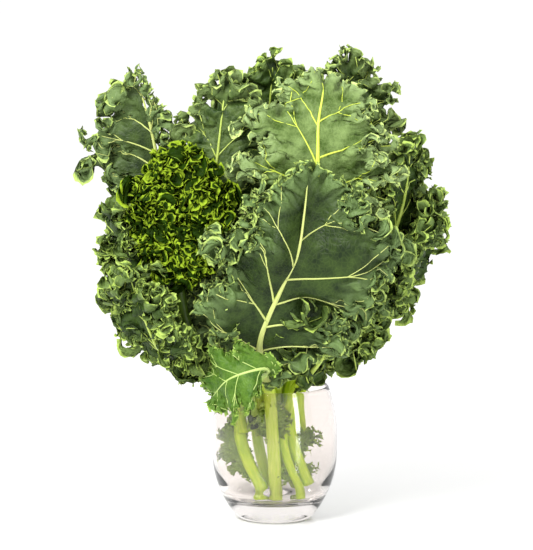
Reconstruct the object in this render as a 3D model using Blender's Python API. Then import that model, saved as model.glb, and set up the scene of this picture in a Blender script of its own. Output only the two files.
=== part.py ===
"""A bunch of curly kale standing in a glass tumbler.

Frame: metres, +Z up, origin at the centre of the tumbler's flat foot, -Y is the front of the bunch.
The tumbler is one turned solid. Each kale leaf, its stalk and blade together, is one lofted solid.
"""

import math

import bmesh
import bpy
import numpy as np

MM = 0.001

# Tumbler, in mm. Its outer wall is widest at the belly and draws in by a power curve above and below
# it, and its inside ends in a rounded floor.
GLASS_HEIGHT = 101.0
BELLY_RADIUS = 47.6
BELLY_HEIGHT = 61.0
RIM_RADIUS = 40.6
FOOT_RADIUS = 27.5
RIM_WALL = 1.8
BELLY_WALL = 2.4
FLOOR_HEIGHT = 15.0
FLOOR_RADIUS = 33.5
CORNER_RADIUS = 8.0
WALL_STEPS = 12
CORNER_STEPS = 4
RIM_STEPS = 3
GLASS_SEGMENTS = 40
UPPER_CURVE = 2.0
LOWER_CURVE = 2.6

# The bunch is a set of nested shells round a leaning axis. This is the outermost one, in mm: height,
# axis x and y there, half width left to right, half depth front to back. Each leaf follows a shell
# that is scaled down from it by the leaf's share.
ENVELOPE = [
    (14, 8, 2, 20, 20),
    (60, 0, 1, 26, 26),
    (100, -4, 0, 24, 26),
    (113, -6, 0, 42, 42),
    (126, -8, 0, 63, 60),
    (145, -8, 0, 81, 74),
    (175, -5, 0, 104, 88),
    (215, -1, 0, 128, 98),
    (265, 0, 0, 130, 95),
    (350, 2, 0, 112, 80),
]
BLUR = 9  # mm of height over which the envelope's corners are smoothed
SQUARENESS = 2.6  # 2 makes each level of a shell an ellipse, and more makes it squarer

# Leaves, in mm. A leaf is lofted through rings of 14 points, seven on each face.
STALK_STEP = 13.0
BLADE_STATIONS = 13
BLADE_HALF = 0.9  # half the blade's thickness, and half of it at the margin
EDGE_HALF = 0.6
TIP_SHARE = 0.965  # how much of the midrib the blade's last ring lies at
OUTLINE_SKEW = 1.15  # over 1 moves the blade's widest place towards its base
OUTLINE_ROUND = 0.65  # under 1 makes the blade's outline fuller than a sine
WING_ROUND = 0.7
WING_FACING = (0.0, -1.0, 0.0)  # leaflets on the stalks all face the front
WING_TURN = 15.0  # mm of stalk in which the leaf turns from its leaflets' direction to its own
RIB_TAPER = 0.72  # how much of its radius the midrib loses by the tip
RIB_POWER = 0.7
RIB_FLANK = 1.2  # the blade meets the rib this many rib radii from its middle
BLADE_SPAN = 1.6  # a ring turns from a round stalk to a flat blade over this many rib radii of width
TURN_START, TURN_SPAN = 0.25, 0.4  # where along a leaf its facing turns to a direction of its own
TANGENT_REACH = 3.0
LATERAL_STEPS = 10
RING_ANGLES = np.radians([-68, -42, -18, 0, 18, 42, 68])  # of the round stalk's points
RING_SHARES = np.array([-1.0, -0.58, 0.0, 0.0, 0.0, 0.58, 1.0])  # of the flat blade's half width
RIB_POINT = 3  # the point of a ring that lies on top of the rib

# One row per leaf. path: its midrib from the cut foot to the tip, as (azimuth in degrees, 0 at the front
# and +90 at the right; height in mm; share of the envelope). base: the height where the blade starts.
# wide: the blade's half width left and right of the midrib. rib: the stalk's radius. wave: the height and
# number of the margin's waves. hug: 1 wraps the blade round its shell, 0 keeps it flat. facing: turns the
# blade's face to a direction of its own. wings: small leaflets on the stalk, as (lowest height, highest
# height, half width left, half width right).
LEAVES = {
    "leaf_front": dict(
        path=[(-60, 17.4, 0.34), (-4, 60, 0.68), (0, 100, 0.95), (-2, 126, 0.98), (-1.5, 150, 1.0),
              (4.5, 186, 1.0), (8, 211, 1.0), (9.5, 239, 1.0), (11, 278, 1.0)],
        base=110, wide=(58, 84), rib=4.8, wave=(3.5, 4.5), wings=[(56, 92, 13, 14)]),
    "leaf_small": dict(
        path=[(-30, 82, 0.94), (-26, 101, 1.0), (-10, 112, 1.20), (2, 123, 1.34), (-2, 127, 1.46),
              (-17, 119, 1.74), (-38, 99, 2.60)],
        base=122, wide=(29, 26), rib=2.4, wave=(1.5, 3.5), hug=0.0, facing=(-0.35, -0.9, 0.25)),
    "leaf_bright": dict(
        path=[(-52, 70, 0.60), (-60, 100, 0.86), (-50, 125, 0.86), (-42, 160, 0.88), (-36, 200, 0.9),
              (-33, 240, 0.9), (-32, 286, 0.9)],
        base=188, wide=(46, 40), rib=3.8, wave=(4.0, 5.0)),
    "leaf_lower_left": dict(
        path=[(-62, 66, 0.93), (-86, 100, 0.98), (-72, 112, 1.14), (-59, 130, 1.18), (-50, 150, 1.19),
              (-43, 200, 1.19)],
        base=110, wide=(50, 38), rib=4.0, wave=(3.5, 4.0)),
    "leaf_left": dict(
        path=[(-84, 18, 0.80), (-84, 60, 0.97), (-112, 100, 0.92), (-96, 125, 0.92), (-77, 165, 0.98),
              (-69, 205, 0.94), (-68, 243, 0.92)],
        base=124, wide=(54, 51), rib=5.2, wave=(3.5, 4.5), wings=[(22, 78, 20, 5)]),
    "leaf_inner_left": dict(
        path=[(-34, 84, 0.46), (-32, 100, 0.56), (-24, 125, 0.72), (-18, 155, 0.76), (-15, 204, 0.8)],
        base=112, wide=(44, 36), rib=3.6, wave=(3.0, 3.5)),
    "leaf_lower_right": dict(
        path=[(60, 18, 0.66), (34, 60, 0.42), (44, 100, 0.94), (48, 112, 0.91), (46, 126, 0.86),
              (44, 146, 0.86), (41, 170, 0.86), (39, 198, 0.86)],
        base=108, wide=(44, 44), rib=3.4, wave=(3.5, 4.0), wings=[(20, 44, 11, 3)]),
    "leaf_right": dict(
        path=[(84, 22, 0.92), (84, 60, 0.5), (70, 100, 0.62), (64, 125, 0.62), (56, 165, 0.66),
              (58, 205, 0.74), (60, 245, 0.80), (62, 292, 0.86)],
        base=176, wide=(40, 46), rib=4.8, wave=(4.0, 5.0), hug=0.3, wings=[(24, 40, 4, 9), (44, 70, 4, 20)]),
    "leaf_right_low": dict(
        path=[(124, 62, 0.86), (92, 100, 0.96), (83, 125, 1.0), (74, 160, 0.98), (69, 200, 0.95),
              (67, 252, 0.96)],
        base=112, wide=(30, 56), rib=4.4, wave=(4.0, 4.5)),
    "leaf_back_right": dict(
        path=[(156, 62, 0.88), (134, 100, 0.94), (130, 125, 0.86), (130, 180, 0.88), (130, 262, 0.88)],
        base=112, wide=(62, 62), rib=4.4, wave=(4.0, 4.5)),
    "leaf_back": dict(
        path=[(-170, 58, 0.9), (176, 100, 0.96), (176, 130, 1.0), (176, 190, 1.0), (176, 240, 1.0)],
        base=108, wide=(64, 64), rib=4.6, wave=(4.0, 4.5)),
    "leaf_back_left": dict(
        path=[(-140, 62, 0.9), (-146, 100, 0.94), (-138, 130, 0.86), (-132, 180, 0.87), (-132, 262, 0.87)],
        base=110, wide=(60, 60), rib=4.4, wave=(4.0, 4.5)),
    "leaf_left_top": dict(
        path=[(-130, 18, 0.66), (-126, 60, 0.58), (-132, 100, 0.50), (-112, 125, 0.48), (-94, 150, 0.55),
              (-78, 200, 0.62), (-66, 250, 0.66), (-64, 283, 0.74), (-66, 308, 0.82), (-68, 338, 0.94)],
        base=226, wide=(54, 16), rib=4.4, wave=(3.5, 4.0), hug=0.0, facing=(-0.3, -1.0, 0.0)),
    "leaf_top_left": dict(
        path=[(-90, 74, 0.35), (-80, 100, 0.38), (-46, 150, 0.56), (-34, 200, 0.66),
              (-28, 260, 0.68), (-26, 340, 0.7)],
        base=180, wide=(40, 52), rib=4.2, wave=(4.0, 4.5)),
    "leaf_top_center": dict(
        path=[(130, 18, 0.6), (80, 60, 0.06), (30, 100, 0.36), (24, 150, 0.64), (18, 200, 0.8),
              (15, 270, 0.9), (17, 305, 0.84), (22, 328, 0.74), (26, 340, 0.58)],
        base=200, wide=(56, 58), rib=5.0, wave=(3.5, 4.5)),
    "leaf_top_right": dict(
        path=[(118, 84, 0.5), (112, 100, 0.48), (96, 150, 0.5), (92, 210, 0.44), (97, 280, 0.42),
              (94, 352, 0.46)],
        base=240, wide=(30, 42), rib=4.0, wave=(4.0, 4.0), hug=0.0, facing=(0.25, -1.0, 0.0)),
    "leaf_top_back": dict(
        path=[(178, 88, 0.22), (180, 102, 0.2), (-120, 170, 0.14), (-20, 240, 0.2), (-4, 352, 0.34)],
        base=230, wide=(40, 40), rib=4.0, wave=(4.0, 4.0)),
    "leaf_back_top": dict(
        path=[(165, 74, 0.54), (168, 100, 0.60), (168, 160, 0.5), (168, 230, 0.54), (170, 336, 0.6)],
        base=180, wide=(46, 56), rib=4.2, wave=(4.0, 4.5)),
}

GLASS_COLOR = (0.90, 0.92, 0.92, 1.0)
LEAF_COLOR = (0.08, 0.17, 0.04, 1.0)
LEAF_TINTS = {
    "leaf_bright": (0.20, 0.33, 0.02, 1.0),
    "leaf_small": (0.10, 0.24, 0.05, 1.0),
    "leaf_front": (0.04, 0.10, 0.04, 1.0),
    "leaf_left_top": (0.06, 0.13, 0.06, 1.0),
    "leaf_top_center": (0.14, 0.25, 0.08, 1.0),
}


def material(name, color, roughness, transmission=0.0):
    """A Principled BSDF with one colour."""
    result = bpy.data.materials.new(name)
    result.use_nodes = True
    shader = result.node_tree.nodes["Principled BSDF"]
    shader.inputs["Base Color"].default_value = color
    shader.inputs["Roughness"].default_value = roughness
    shader.inputs["Transmission Weight"].default_value = transmission
    return result


def link_mesh(name, vertices, faces, look):
    """Makes an object of a closed mesh whose points are in mm."""
    mesh = bpy.data.meshes.new(name)
    mesh.from_pydata([tuple(v) for v in np.asarray(vertices) * MM], [], faces)
    shape = bmesh.new()
    shape.from_mesh(mesh)
    bmesh.ops.recalc_face_normals(shape, faces=shape.faces)
    bmesh.ops.triangulate(shape, faces=shape.faces)
    shape.to_mesh(mesh)
    shape.free()
    mesh.shade_smooth()
    mesh.set_sharp_from_angle(angle=math.radians(50))
    mesh.materials.append(look)
    result = bpy.data.objects.new(name, mesh)
    bpy.context.scene.collection.objects.link(result)
    return result


def outer_radius(height):
    """The tumbler's outer radius, drawn in from the belly by a power of the distance from it."""
    if height >= BELLY_HEIGHT:
        up = (height - BELLY_HEIGHT) / (GLASS_HEIGHT - BELLY_HEIGHT)
        return BELLY_RADIUS - (BELLY_RADIUS - RIM_RADIUS) * up ** UPPER_CURVE
    down = (BELLY_HEIGHT - height) / BELLY_HEIGHT
    return BELLY_RADIUS - (BELLY_RADIUS - FOOT_RADIUS) * down ** LOWER_CURVE


def inner_radius(height):
    """The tumbler's inner radius above the rounded corner of its floor."""
    up = (height - FLOOR_HEIGHT) / (GLASS_HEIGHT - FLOOR_HEIGHT)
    wall = BELLY_WALL + (RIM_WALL - BELLY_WALL) * up
    start = FLOOR_HEIGHT + CORNER_RADIUS
    settle = max(0.0, 1 - (height - start) / (BELLY_HEIGHT - start)) ** 6
    return (outer_radius(height) - wall) * (1 - settle) + (FLOOR_RADIUS + CORNER_RADIUS / 2) * settle


def glass_profile():
    """The tumbler's outline from the foot's rim up the outside, over the lip and down to the floor."""
    outside = [(outer_radius(h), h) for h in np.linspace(0, GLASS_HEIGHT - RIM_WALL / 2, WALL_STEPS)]
    middle = RIM_RADIUS - RIM_WALL / 2
    lip = [
        (middle + RIM_WALL / 2 * math.cos(a), GLASS_HEIGHT - RIM_WALL / 2 + RIM_WALL / 2 * math.sin(a))
        for a in np.linspace(0, math.pi, RIM_STEPS + 2)[1:-1]
    ]
    start = FLOOR_HEIGHT + CORNER_RADIUS
    inside = [(inner_radius(h), h) for h in np.linspace(GLASS_HEIGHT - RIM_WALL / 2, start, WALL_STEPS)]
    reach = inner_radius(start) - CORNER_RADIUS
    corner = [
        (reach + CORNER_RADIUS * math.cos(a), start - CORNER_RADIUS * math.sin(a))
        for a in np.linspace(0, math.pi / 2, CORNER_STEPS + 1)[1:]
    ]
    return outside + lip + inside + corner


def make_glass():
    """Turns the tumbler's outline round the Z axis, with a flat foot and a flat floor."""
    profile = glass_profile()
    count = len(profile)
    vertices = [
        (r * math.cos(a), r * math.sin(a), h)
        for a in np.linspace(0, 2 * math.pi, GLASS_SEGMENTS, endpoint=False)
        for r, h in profile
    ]
    faces = []
    for i in range(GLASS_SEGMENTS):
        here = i * count
        there = (i + 1) % GLASS_SEGMENTS * count
        faces += [(here + j, there + j, there + j + 1, here + j + 1) for j in range(count - 1)]
    faces.append([i * count for i in range(GLASS_SEGMENTS)])
    faces.append([i * count + count - 1 for i in range(GLASS_SEGMENTS)])
    return link_mesh("glass_tumbler", vertices, faces, material("clear_glass", GLASS_COLOR, 0.02, 1.0))


def smoothed_envelope():
    """The envelope at every mm of height, its corners rounded by a sliding mean."""
    rows = np.array(ENVELOPE, float)
    heights = np.arange(rows[0, 0] - 2 * BLUR, rows[-1, 0] + 2 * BLUR + 1)
    sliding = np.ones(BLUR) / BLUR
    columns = []
    for column in rows[:, 1:].T:
        values = np.interp(heights, rows[:, 0], column)
        padded = np.pad(values, BLUR, mode="edge")
        columns.append(np.convolve(np.convolve(padded, sliding, "same"), sliding, "same")[BLUR:-BLUR])
    return heights, np.array(columns)


HEIGHTS, LEVELS = smoothed_envelope()


def level(height):
    """The shell's axis x and y, half width and half depth at each height."""
    return [np.interp(height, HEIGHTS, column) for column in LEVELS]


def squircle(azimuth):
    """How far an ellipse has to grow at an azimuth to make the shell's squarer outline."""
    power = SQUARENESS
    return (np.abs(np.sin(azimuth)) ** power + np.abs(np.cos(azimuth)) ** power) ** (-1 / power)


def to_points(azimuth, height, share):
    """Points in mm from azimuth in radians, height and share of the envelope."""
    x, y, half_width, half_depth = level(height)
    reach = share * squircle(azimuth)
    return np.stack(
        [x + half_width * reach * np.sin(azimuth), y - half_depth * reach * np.cos(azimuth), height], -1)


def share_at(points):
    """The share of the envelope that passes through each point."""
    x, y, half_width, half_depth = level(points[..., 2])
    across = (points[..., 0] - x) / half_width
    along = (points[..., 1] - y) / half_depth
    return np.hypot(across, along) / squircle(np.arctan2(across, -along))


def gradient(points, step=0.5):
    """The direction and rate in which the share grows fastest at each point."""
    slopes = [(share_at(points + step * axis) - share_at(points - step * axis)) / (2 * step)
              for axis in np.eye(3)]
    return np.stack(slopes, -1)


def unit(vectors):
    return vectors / np.linalg.norm(vectors, axis=-1, keepdims=True)


def spline(knots, steps=24):
    """A Catmull-Rom curve through the knots."""
    ends = np.vstack([2 * knots[0] - knots[1], knots, 2 * knots[-1] - knots[-2]])
    t = np.linspace(0, 1, steps, endpoint=False)[:, None]
    pieces = []
    for p0, p1, p2, p3 in zip(ends, ends[1:], ends[2:], ends[3:]):
        pieces.append(0.5 * (2 * p1 + (p2 - p0) * t + (2 * p0 - 5 * p1 + 4 * p2 - p3) * t ** 2
                             + (3 * p1 - p0 - 3 * p2 + p3) * t ** 3))
    return np.vstack(pieces + [knots[-1:]])


class Midrib:
    """A leaf's midrib as a curve by its length, from the cut foot to the tip."""

    def __init__(self, leaf):
        path = np.array(leaf["path"], float)
        knots = to_points(np.radians(path[:, 0]), path[:, 1], path[:, 2])
        self.points = spline(knots)
        self.lengths = np.append(0, np.cumsum(np.linalg.norm(np.diff(self.points, axis=0), axis=1)))
        self.total = self.lengths[-1]
        self.base = self.lengths[np.argmax(self.points[:, 2] >= leaf["base"])]

    def at(self, lengths):
        return np.stack([np.interp(lengths, self.lengths, column) for column in self.points.T], -1)

    def tangent(self, lengths):
        ahead = self.at(np.minimum(lengths + TANGENT_REACH, self.total))
        return unit(ahead - self.at(np.maximum(lengths - TANGENT_REACH, 0)))


def half_widths(leaf, midrib, lengths, rib):
    """The blade's half width left and right of the midrib at each length, never under the rib's radius."""
    along = np.clip((lengths - midrib.base) / (midrib.total - midrib.base), 0, 1)
    outline = np.sin(np.pi * along ** OUTLINE_SKEW) ** OUTLINE_ROUND
    height = midrib.at(lengths)[:, 2]
    sides = []
    for side, wide in enumerate(leaf["wide"]):
        reach = wide * outline
        for low, high, *wing in leaf.get("wings", []):
            inside = np.clip((height - low) / (high - low), 0, 1) * (lengths < midrib.base)
            reach = np.maximum(reach, wing[side] * np.sin(np.pi * inside) ** WING_ROUND)
        sides.append(np.maximum(reach, rib))
    return sides


def spread(leaf, centers, tangents, distances):
    """Walks from the midrib to each lateral distance, round the leaf's shell or straight out.

    distances has a row for each center, sorted from left to right, and one column per point.
    """
    outward = unit(gradient(centers))
    facing = leaf.get("facing")
    if facing is not None:
        turn = np.clip((np.arange(len(centers)) / len(centers) - TURN_START) / TURN_SPAN, 0, 1)[:, None]
        outward = unit(outward * (1 - turn) + unit(np.array(facing)) * turn)
    hug = np.full((len(centers), 1), leaf.get("hug", 1.0))
    if "wings" in leaf:
        top = max(wing[1] for wing in leaf["wings"])
        turn = 1 - np.clip((centers[:, 2:] - top) / WING_TURN, 0, 1)
        outward = unit(outward * (1 - turn) + np.array(WING_FACING) * turn)
        hug = hug * (1 - turn)
    outward = unit(outward - tangents * np.sum(outward * tangents, -1, keepdims=True))
    sideways = np.cross(tangents, outward)
    share = share_at(centers)
    result = np.empty(distances.shape + (3,))
    for column in range(distances.shape[1]):
        step = distances[:, column:column + 1] / LATERAL_STEPS
        here = centers.copy()
        direction = sideways.copy()
        for _ in range(LATERAL_STEPS):
            here = here + direction * step
            slope = gradient(here)
            size = np.sum(slope * slope, -1, keepdims=True)
            back = slope * ((share - share_at(here))[:, None] / size)
            here = here + hug * back
            normal = unit((1 - hug) * outward + hug * unit(slope))
            direction = unit(direction - normal * np.sum(direction * normal, -1, keepdims=True))
        result[:, column] = here
    return result


def make_leaf(name, leaf):
    """Lofts one closed solid from the stalk's cut foot to the blade's tip."""
    midrib = Midrib(leaf)
    stalk_count = max(4, round(midrib.base / STALK_STEP))
    blade_end = midrib.base + (midrib.total - midrib.base) * TIP_SHARE
    lengths = np.concatenate([np.linspace(0, midrib.base, stalk_count, endpoint=False),
                              np.linspace(midrib.base, blade_end, BLADE_STATIONS)])
    along = np.clip((lengths - midrib.base) / (midrib.total - midrib.base), 0, 1)
    rib = leaf["rib"] * (1 - RIB_TAPER * along ** RIB_POWER)
    left, right = half_widths(leaf, midrib, lengths, rib)

    before_rib, after_rib = RIB_POINT - 1, RIB_POINT + 1
    flank = np.zeros(len(RING_SHARES))
    flank[before_rib], flank[after_rib] = -RIB_FLANK, RIB_FLANK
    wide = np.where(RING_SHARES < 0, left[:, None], right[:, None])
    thin = np.full(len(RING_SHARES), BLADE_HALF)
    thin[[0, -1]] = EDGE_HALF
    flat_reach = RING_SHARES * wide + flank * rib[:, None]
    flat_height = np.where(np.arange(len(RING_SHARES)) == RIB_POINT, rib[:, None], thin)
    round_reach = rib[:, None] * np.sin(RING_ANGLES)
    round_height = rib[:, None] * np.cos(RING_ANGLES)
    flatness = np.clip((wide / rib[:, None] - 1.0) / BLADE_SPAN, 0, 1)
    flatness[:, RIB_POINT] = (flatness[:, before_rib] + flatness[:, after_rib]) / 2
    reach = round_reach * (1 - flatness) + flat_reach * flatness
    height = round_height * (1 - flatness) + flat_height * flatness

    centers = midrib.at(lengths)
    middle = spread(leaf, centers, midrib.tangent(lengths), reach)
    across = unit(np.gradient(middle, axis=1))
    forward = unit(np.gradient(middle, axis=0))
    normals = unit(np.cross(across, forward))
    wave_height, waves = leaf["wave"]
    side = np.where(RING_SHARES < 0, 0.0, 0.5)
    ripple = np.sin(2 * np.pi * (waves * along[:, None] + side)) * np.sin(np.pi * along[:, None]) ** 0.5
    middle = middle + normals * (wave_height * ripple * RING_SHARES ** 2)[..., None]

    outer = middle + normals * height[..., None]
    inner = middle - normals * height[..., None]
    ring = np.concatenate([outer, inner[:, ::-1]], axis=1)
    stations, around = ring.shape[:2]
    faces = []
    for i in range(stations - 1):
        for j in range(around):
            k = (j + 1) % around
            faces.append((i * around + j, i * around + k, (i + 1) * around + k, (i + 1) * around + j))
    faces.append(list(range(around)))
    faces.append([(stations - 1) * around + j for j in range(around)])
    tint = LEAF_TINTS.get(name, LEAF_COLOR)
    return link_mesh(name, ring.reshape(-1, 3), faces, material(name + "_green", tint, 0.5))


def main():
    for old in list(bpy.data.objects):
        bpy.data.objects.remove(old, do_unlink=True)
    make_glass()
    for name, leaf in LEAVES.items():
        make_leaf(name, leaf)


main()
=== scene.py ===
# %% [markdown]
# A bunch of curly kale standing in a glass tumbler.
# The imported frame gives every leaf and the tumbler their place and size. This script grows a curly
# blade for each leaf, gives it a stalk and veins, and dresses everything in leaf, stalk and glass
# finishes. The kale and the tumbler are worked out in mm, and turned into metres with their meshes.

import math
import time

import bpy
import numpy as np
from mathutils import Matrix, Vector
from mathutils.bvhtree import BVHTree


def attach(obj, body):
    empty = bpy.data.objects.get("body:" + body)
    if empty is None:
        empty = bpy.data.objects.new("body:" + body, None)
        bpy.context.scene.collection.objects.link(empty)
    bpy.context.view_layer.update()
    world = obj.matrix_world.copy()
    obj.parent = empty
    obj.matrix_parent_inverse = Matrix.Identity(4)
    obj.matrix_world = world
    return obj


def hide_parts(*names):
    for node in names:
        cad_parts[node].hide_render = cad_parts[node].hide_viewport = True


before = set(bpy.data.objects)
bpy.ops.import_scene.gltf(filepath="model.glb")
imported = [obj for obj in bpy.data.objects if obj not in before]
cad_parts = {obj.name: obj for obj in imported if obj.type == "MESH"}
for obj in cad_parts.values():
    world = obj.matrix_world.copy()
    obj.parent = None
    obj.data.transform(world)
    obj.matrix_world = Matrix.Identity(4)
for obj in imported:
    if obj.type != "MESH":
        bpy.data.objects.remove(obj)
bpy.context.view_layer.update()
START = time.time()
MM = 0.001  # one mm in metres
print("frame nodes:", len(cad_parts))

# %% [markdown]
# The leaves of a bunch lie round each other like the layers of an onion. They could be placed one by
# one by hand, but then they would run through each other. So the bunch is described by one outer shell,
# given as a few level rings, and each leaf follows a smaller copy of it. A leaf's share says how far
# out its own layer is. These are the same rings the solid model is built from.

# %% the nested shells of the bunch, in mm
RINGS = [  # height, axis x and y, half width, half depth
    (14, 8, 2, 20, 20), (60, 0, 1, 26, 26), (100, -4, 0, 24, 26), (113, -6, 0, 42, 42),
    (126, -8, 0, 63, 60), (145, -8, 0, 81, 74), (175, -5, 0, 104, 88), (215, -1, 0, 128, 98),
    (265, 0, 0, 130, 95), (350, 2, 0, 112, 80),
]
CORNER_BLUR = 9


def blurred_rings():
    """The rings at every mm of height, with the corners between them rounded by a sliding mean."""
    rows = np.array(RINGS, float)
    heights = np.arange(rows[0, 0] - 2 * CORNER_BLUR, rows[-1, 0] + 2 * CORNER_BLUR + 1)
    mean = np.ones(CORNER_BLUR) / CORNER_BLUR
    columns = []
    for column in rows[:, 1:].T:
        padded = np.pad(np.interp(heights, rows[:, 0], column), CORNER_BLUR, mode="edge")
        smooth = np.convolve(np.convolve(padded, mean, "same"), mean, "same")
        columns.append(smooth[CORNER_BLUR:-CORNER_BLUR])
    return heights, columns


HEIGHTS, LEVELS = blurred_rings()
print("shell heights:", HEIGHTS[0], "to", HEIGHTS[-1])

# %% [markdown]
# A place on a shell is an azimuth, a height and a share. The other way round, share_at tells which
# shell a point is on, and the slope of that share points straight out of the bunch. A ring is a
# squircle, a circle pressed a little towards a square, because a full bunch fills its corners.

# %% places on a shell
SQUARENESS = 2.6


def ring_at(height):
    return [np.interp(height, HEIGHTS, column) for column in LEVELS]


def squircle(azimuth):
    sides = np.abs(np.sin(azimuth)) ** SQUARENESS + np.abs(np.cos(azimuth)) ** SQUARENESS
    return sides ** (-1 / SQUARENESS)


def shell_points(azimuth, height, share):
    x, y, half_width, half_depth = ring_at(height)
    reach = share * squircle(azimuth)
    return np.stack([x + half_width * reach * np.sin(azimuth),
                     y - half_depth * reach * np.cos(azimuth), height], -1)


def share_at(points):
    x, y, half_width, half_depth = ring_at(points[..., 2])
    across = (points[..., 0] - x) / half_width
    along = (points[..., 1] - y) / half_depth
    return np.hypot(across, along) / squircle(np.arctan2(across, -along))


def outward_slope(points, step=0.5):
    slopes = [(share_at(points + step * axis) - share_at(points - step * axis)) / (2 * step)
              for axis in np.eye(3)]
    return np.stack(slopes, -1)


def unit(vectors):
    return vectors / np.linalg.norm(vectors, axis=-1, keepdims=True)


belly = shell_points(np.radians(90), 240, 1.0)
print("the outer shell's right side at 240 mm:", belly.round(1), "share", share_at(belly).round(3))

# %% [markdown]
# Each leaf is one row: its midrib's path from the cut foot to the tip as azimuth in degrees (0 is the
# front, +90 the right), height and share, the height where the blade starts, the blade's half width
# on the left and on the right, and the stalk's radius. look and frill name its finish and its margin.
# A leaf follows its shell unless hug is below 1. Then it stays flatter, and may turn to a facing.
# upper_out means that its smooth upper side shows, with the midrib sunk in it.
#
# Some leaves have more. veins is a count, or pairs of shares for the left and the right: where a vein
# leaves the midrib and where it meets the margin. folds are hills and hollows in the blade: place
# across in mm, place along as a share, width, length and height. swell is the height of the waves
# between the side veins. crests are small frilled straps on the blade's face: how many on each side,
# their half width and where they start. wings are leaflets on the stalk: from one height to another,
# with a width left and right. spacing is a coarser first net, where the frill is hidden or covered.

# %% the leaves in front
LEAVES = {
    "leaf_front": dict(
        path=[(-60, 17.4, 0.34), (-4, 60, 0.68), (0, 100, 0.95), (-2, 126, 0.98), (-1.5, 150, 1.0),
              (4.5, 186, 1.0), (8, 211, 1.0), (9.5, 239, 1.0), (11, 278, 1.0)],
        base=110, wide=(58, 84), rib=4.8, look="deep", frill="front", upper_out=True,
        veins=[[(0.10, 0.12), (0.26, 0.30), (0.42, 0.44), (0.50, 0.74), (0.68, 0.86)],
               [(0.08, 0.08), (0.25, 0.26), (0.39, 0.40), (0.50, 0.55), (0.62, 0.72), (0.78, 0.86)]],
        swell=6.0,
        folds=[(-16, 0.70, 10, 32, 15), (11, 0.80, 13, 24, -10), (44, 0.68, 22, 17, 13),
               (27, 0.47, 17, 9, -11), (56, 0.38, 18, 14, 11), (24, 0.17, 18, 9, -11),
               (-36, 0.32, 14, 20, 9)],
        crests=(6, 9, 0.62), wings=[(56, 92, 13, 14)]),
    "leaf_small": dict(
        path=[(-30, 82, 0.94), (-26, 101, 1.0), (-10, 112, 1.20), (2, 123, 1.34), (-2, 127, 1.46),
              (-17, 119, 1.74), (-38, 99, 2.60)],
        base=122, wide=(29, 26), rib=2.4, hug=0.0, facing=(-0.35, -0.9, 0.25),
        look="fresh", frill="little", upper_out=True, veins=5, vein_thick=0.16),
    "leaf_bright": dict(
        path=[(-52, 70, 0.60), (-60, 100, 0.86), (-50, 125, 0.86), (-42, 160, 0.88), (-36, 200, 0.9),
              (-33, 240, 0.9), (-32, 286, 0.9)],
        base=188, wide=(44, 39), rib=3.8, look="yellow", frill="dense", spacing=4.4,
        crests=(14, 8, 0.04), crest_frill="fine"),
}
print("leaves in front:", list(LEAVES))

# %% [markdown]
# The skirt is the ring of ruffled leaves round the tumbler's rim. They bend outwards over it, stand at
# the left and the right of the front leaf, and hide where most of the stalks meet their blades.

# %% the leaves of the skirt
LEAVES |= {
    "leaf_lower_left": dict(
        path=[(-62, 66, 0.93), (-86, 100, 0.98), (-72, 112, 1.14), (-59, 130, 1.18), (-50, 150, 1.19),
              (-43, 200, 1.19)],
        base=110, wide=(50, 38), rib=4.0, frill="full", crests=(4, 14, 0.2)),
    "leaf_left": dict(
        path=[(-84, 18, 0.80), (-84, 60, 0.97), (-112, 100, 0.92), (-96, 125, 0.92), (-77, 165, 0.98),
              (-69, 205, 0.94), (-68, 243, 0.92)],
        base=124, wide=(54, 51), rib=5.2, frill="full", crests=(4, 14, 0.25), wings=[(22, 78, 20, 5)]),
    "leaf_inner_left": dict(
        path=[(-34, 84, 0.46), (-32, 100, 0.56), (-24, 125, 0.72), (-18, 155, 0.76), (-15, 204, 0.8)],
        base=112, wide=(44, 36), rib=3.6, look="blue", frill="edge"),
    "leaf_lower_right": dict(
        path=[(60, 18, 0.66), (34, 60, 0.42), (44, 100, 0.94), (48, 112, 0.91), (46, 126, 0.86),
              (44, 146, 0.86), (41, 170, 0.86), (39, 198, 0.86)],
        base=108, wide=(44, 44), rib=3.4, frill="full", crests=(3, 14, 0.4), wings=[(20, 44, 11, 3)]),
    "leaf_right": dict(
        path=[(84, 22, 0.92), (84, 60, 0.5), (70, 100, 0.62), (64, 125, 0.62), (56, 165, 0.66),
              (58, 205, 0.74), (60, 245, 0.80), (62, 292, 0.86)],
        base=176, wide=(40, 46), rib=4.8, hug=0.3, frill="edge", crests=(5, 11, 0.42),
        wings=[(24, 40, 4, 9), (44, 70, 4, 20)]),
    "leaf_right_low": dict(
        path=[(124, 62, 0.86), (92, 100, 0.96), (83, 125, 1.0), (74, 160, 0.98), (69, 200, 0.95),
              (67, 252, 0.96)],
        base=112, wide=(30, 56), rib=4.4, frill="full", crests=(4, 14, 0.2)),
}
print("leaves with the skirt:", len(LEAVES))

# %% [markdown]
# Three large leaves close the bunch behind. They are hardly seen, so their nets are coarser.

# %% the leaves behind
LEAVES |= {
    "leaf_back_right": dict(
        path=[(156, 62, 0.88), (134, 100, 0.94), (130, 125, 0.86), (130, 180, 0.88), (130, 262, 0.88)],
        base=112, wide=(62, 62), rib=4.4, spacing=4.4, frill="full"),
    "leaf_back": dict(
        path=[(-170, 58, 0.9), (176, 100, 0.96), (176, 130, 1.0), (176, 190, 1.0), (176, 240, 1.0)],
        base=108, wide=(64, 64), rib=4.6, spacing=4.4, frill="edge"),
    "leaf_back_left": dict(
        path=[(-140, 62, 0.9), (-146, 100, 0.94), (-138, 130, 0.86), (-132, 180, 0.87), (-132, 262, 0.87)],
        base=110, wide=(60, 60), rib=4.4, spacing=4.4, frill="full"),
}
print("leaves with those behind:", len(LEAVES))

# %% [markdown]
# The crown is the tall leaves in the middle, which rise above all others. Most of them turn their pale
# undersides outwards. A leaf that is folded along its midrib is narrow on the side that is folded away.

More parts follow.
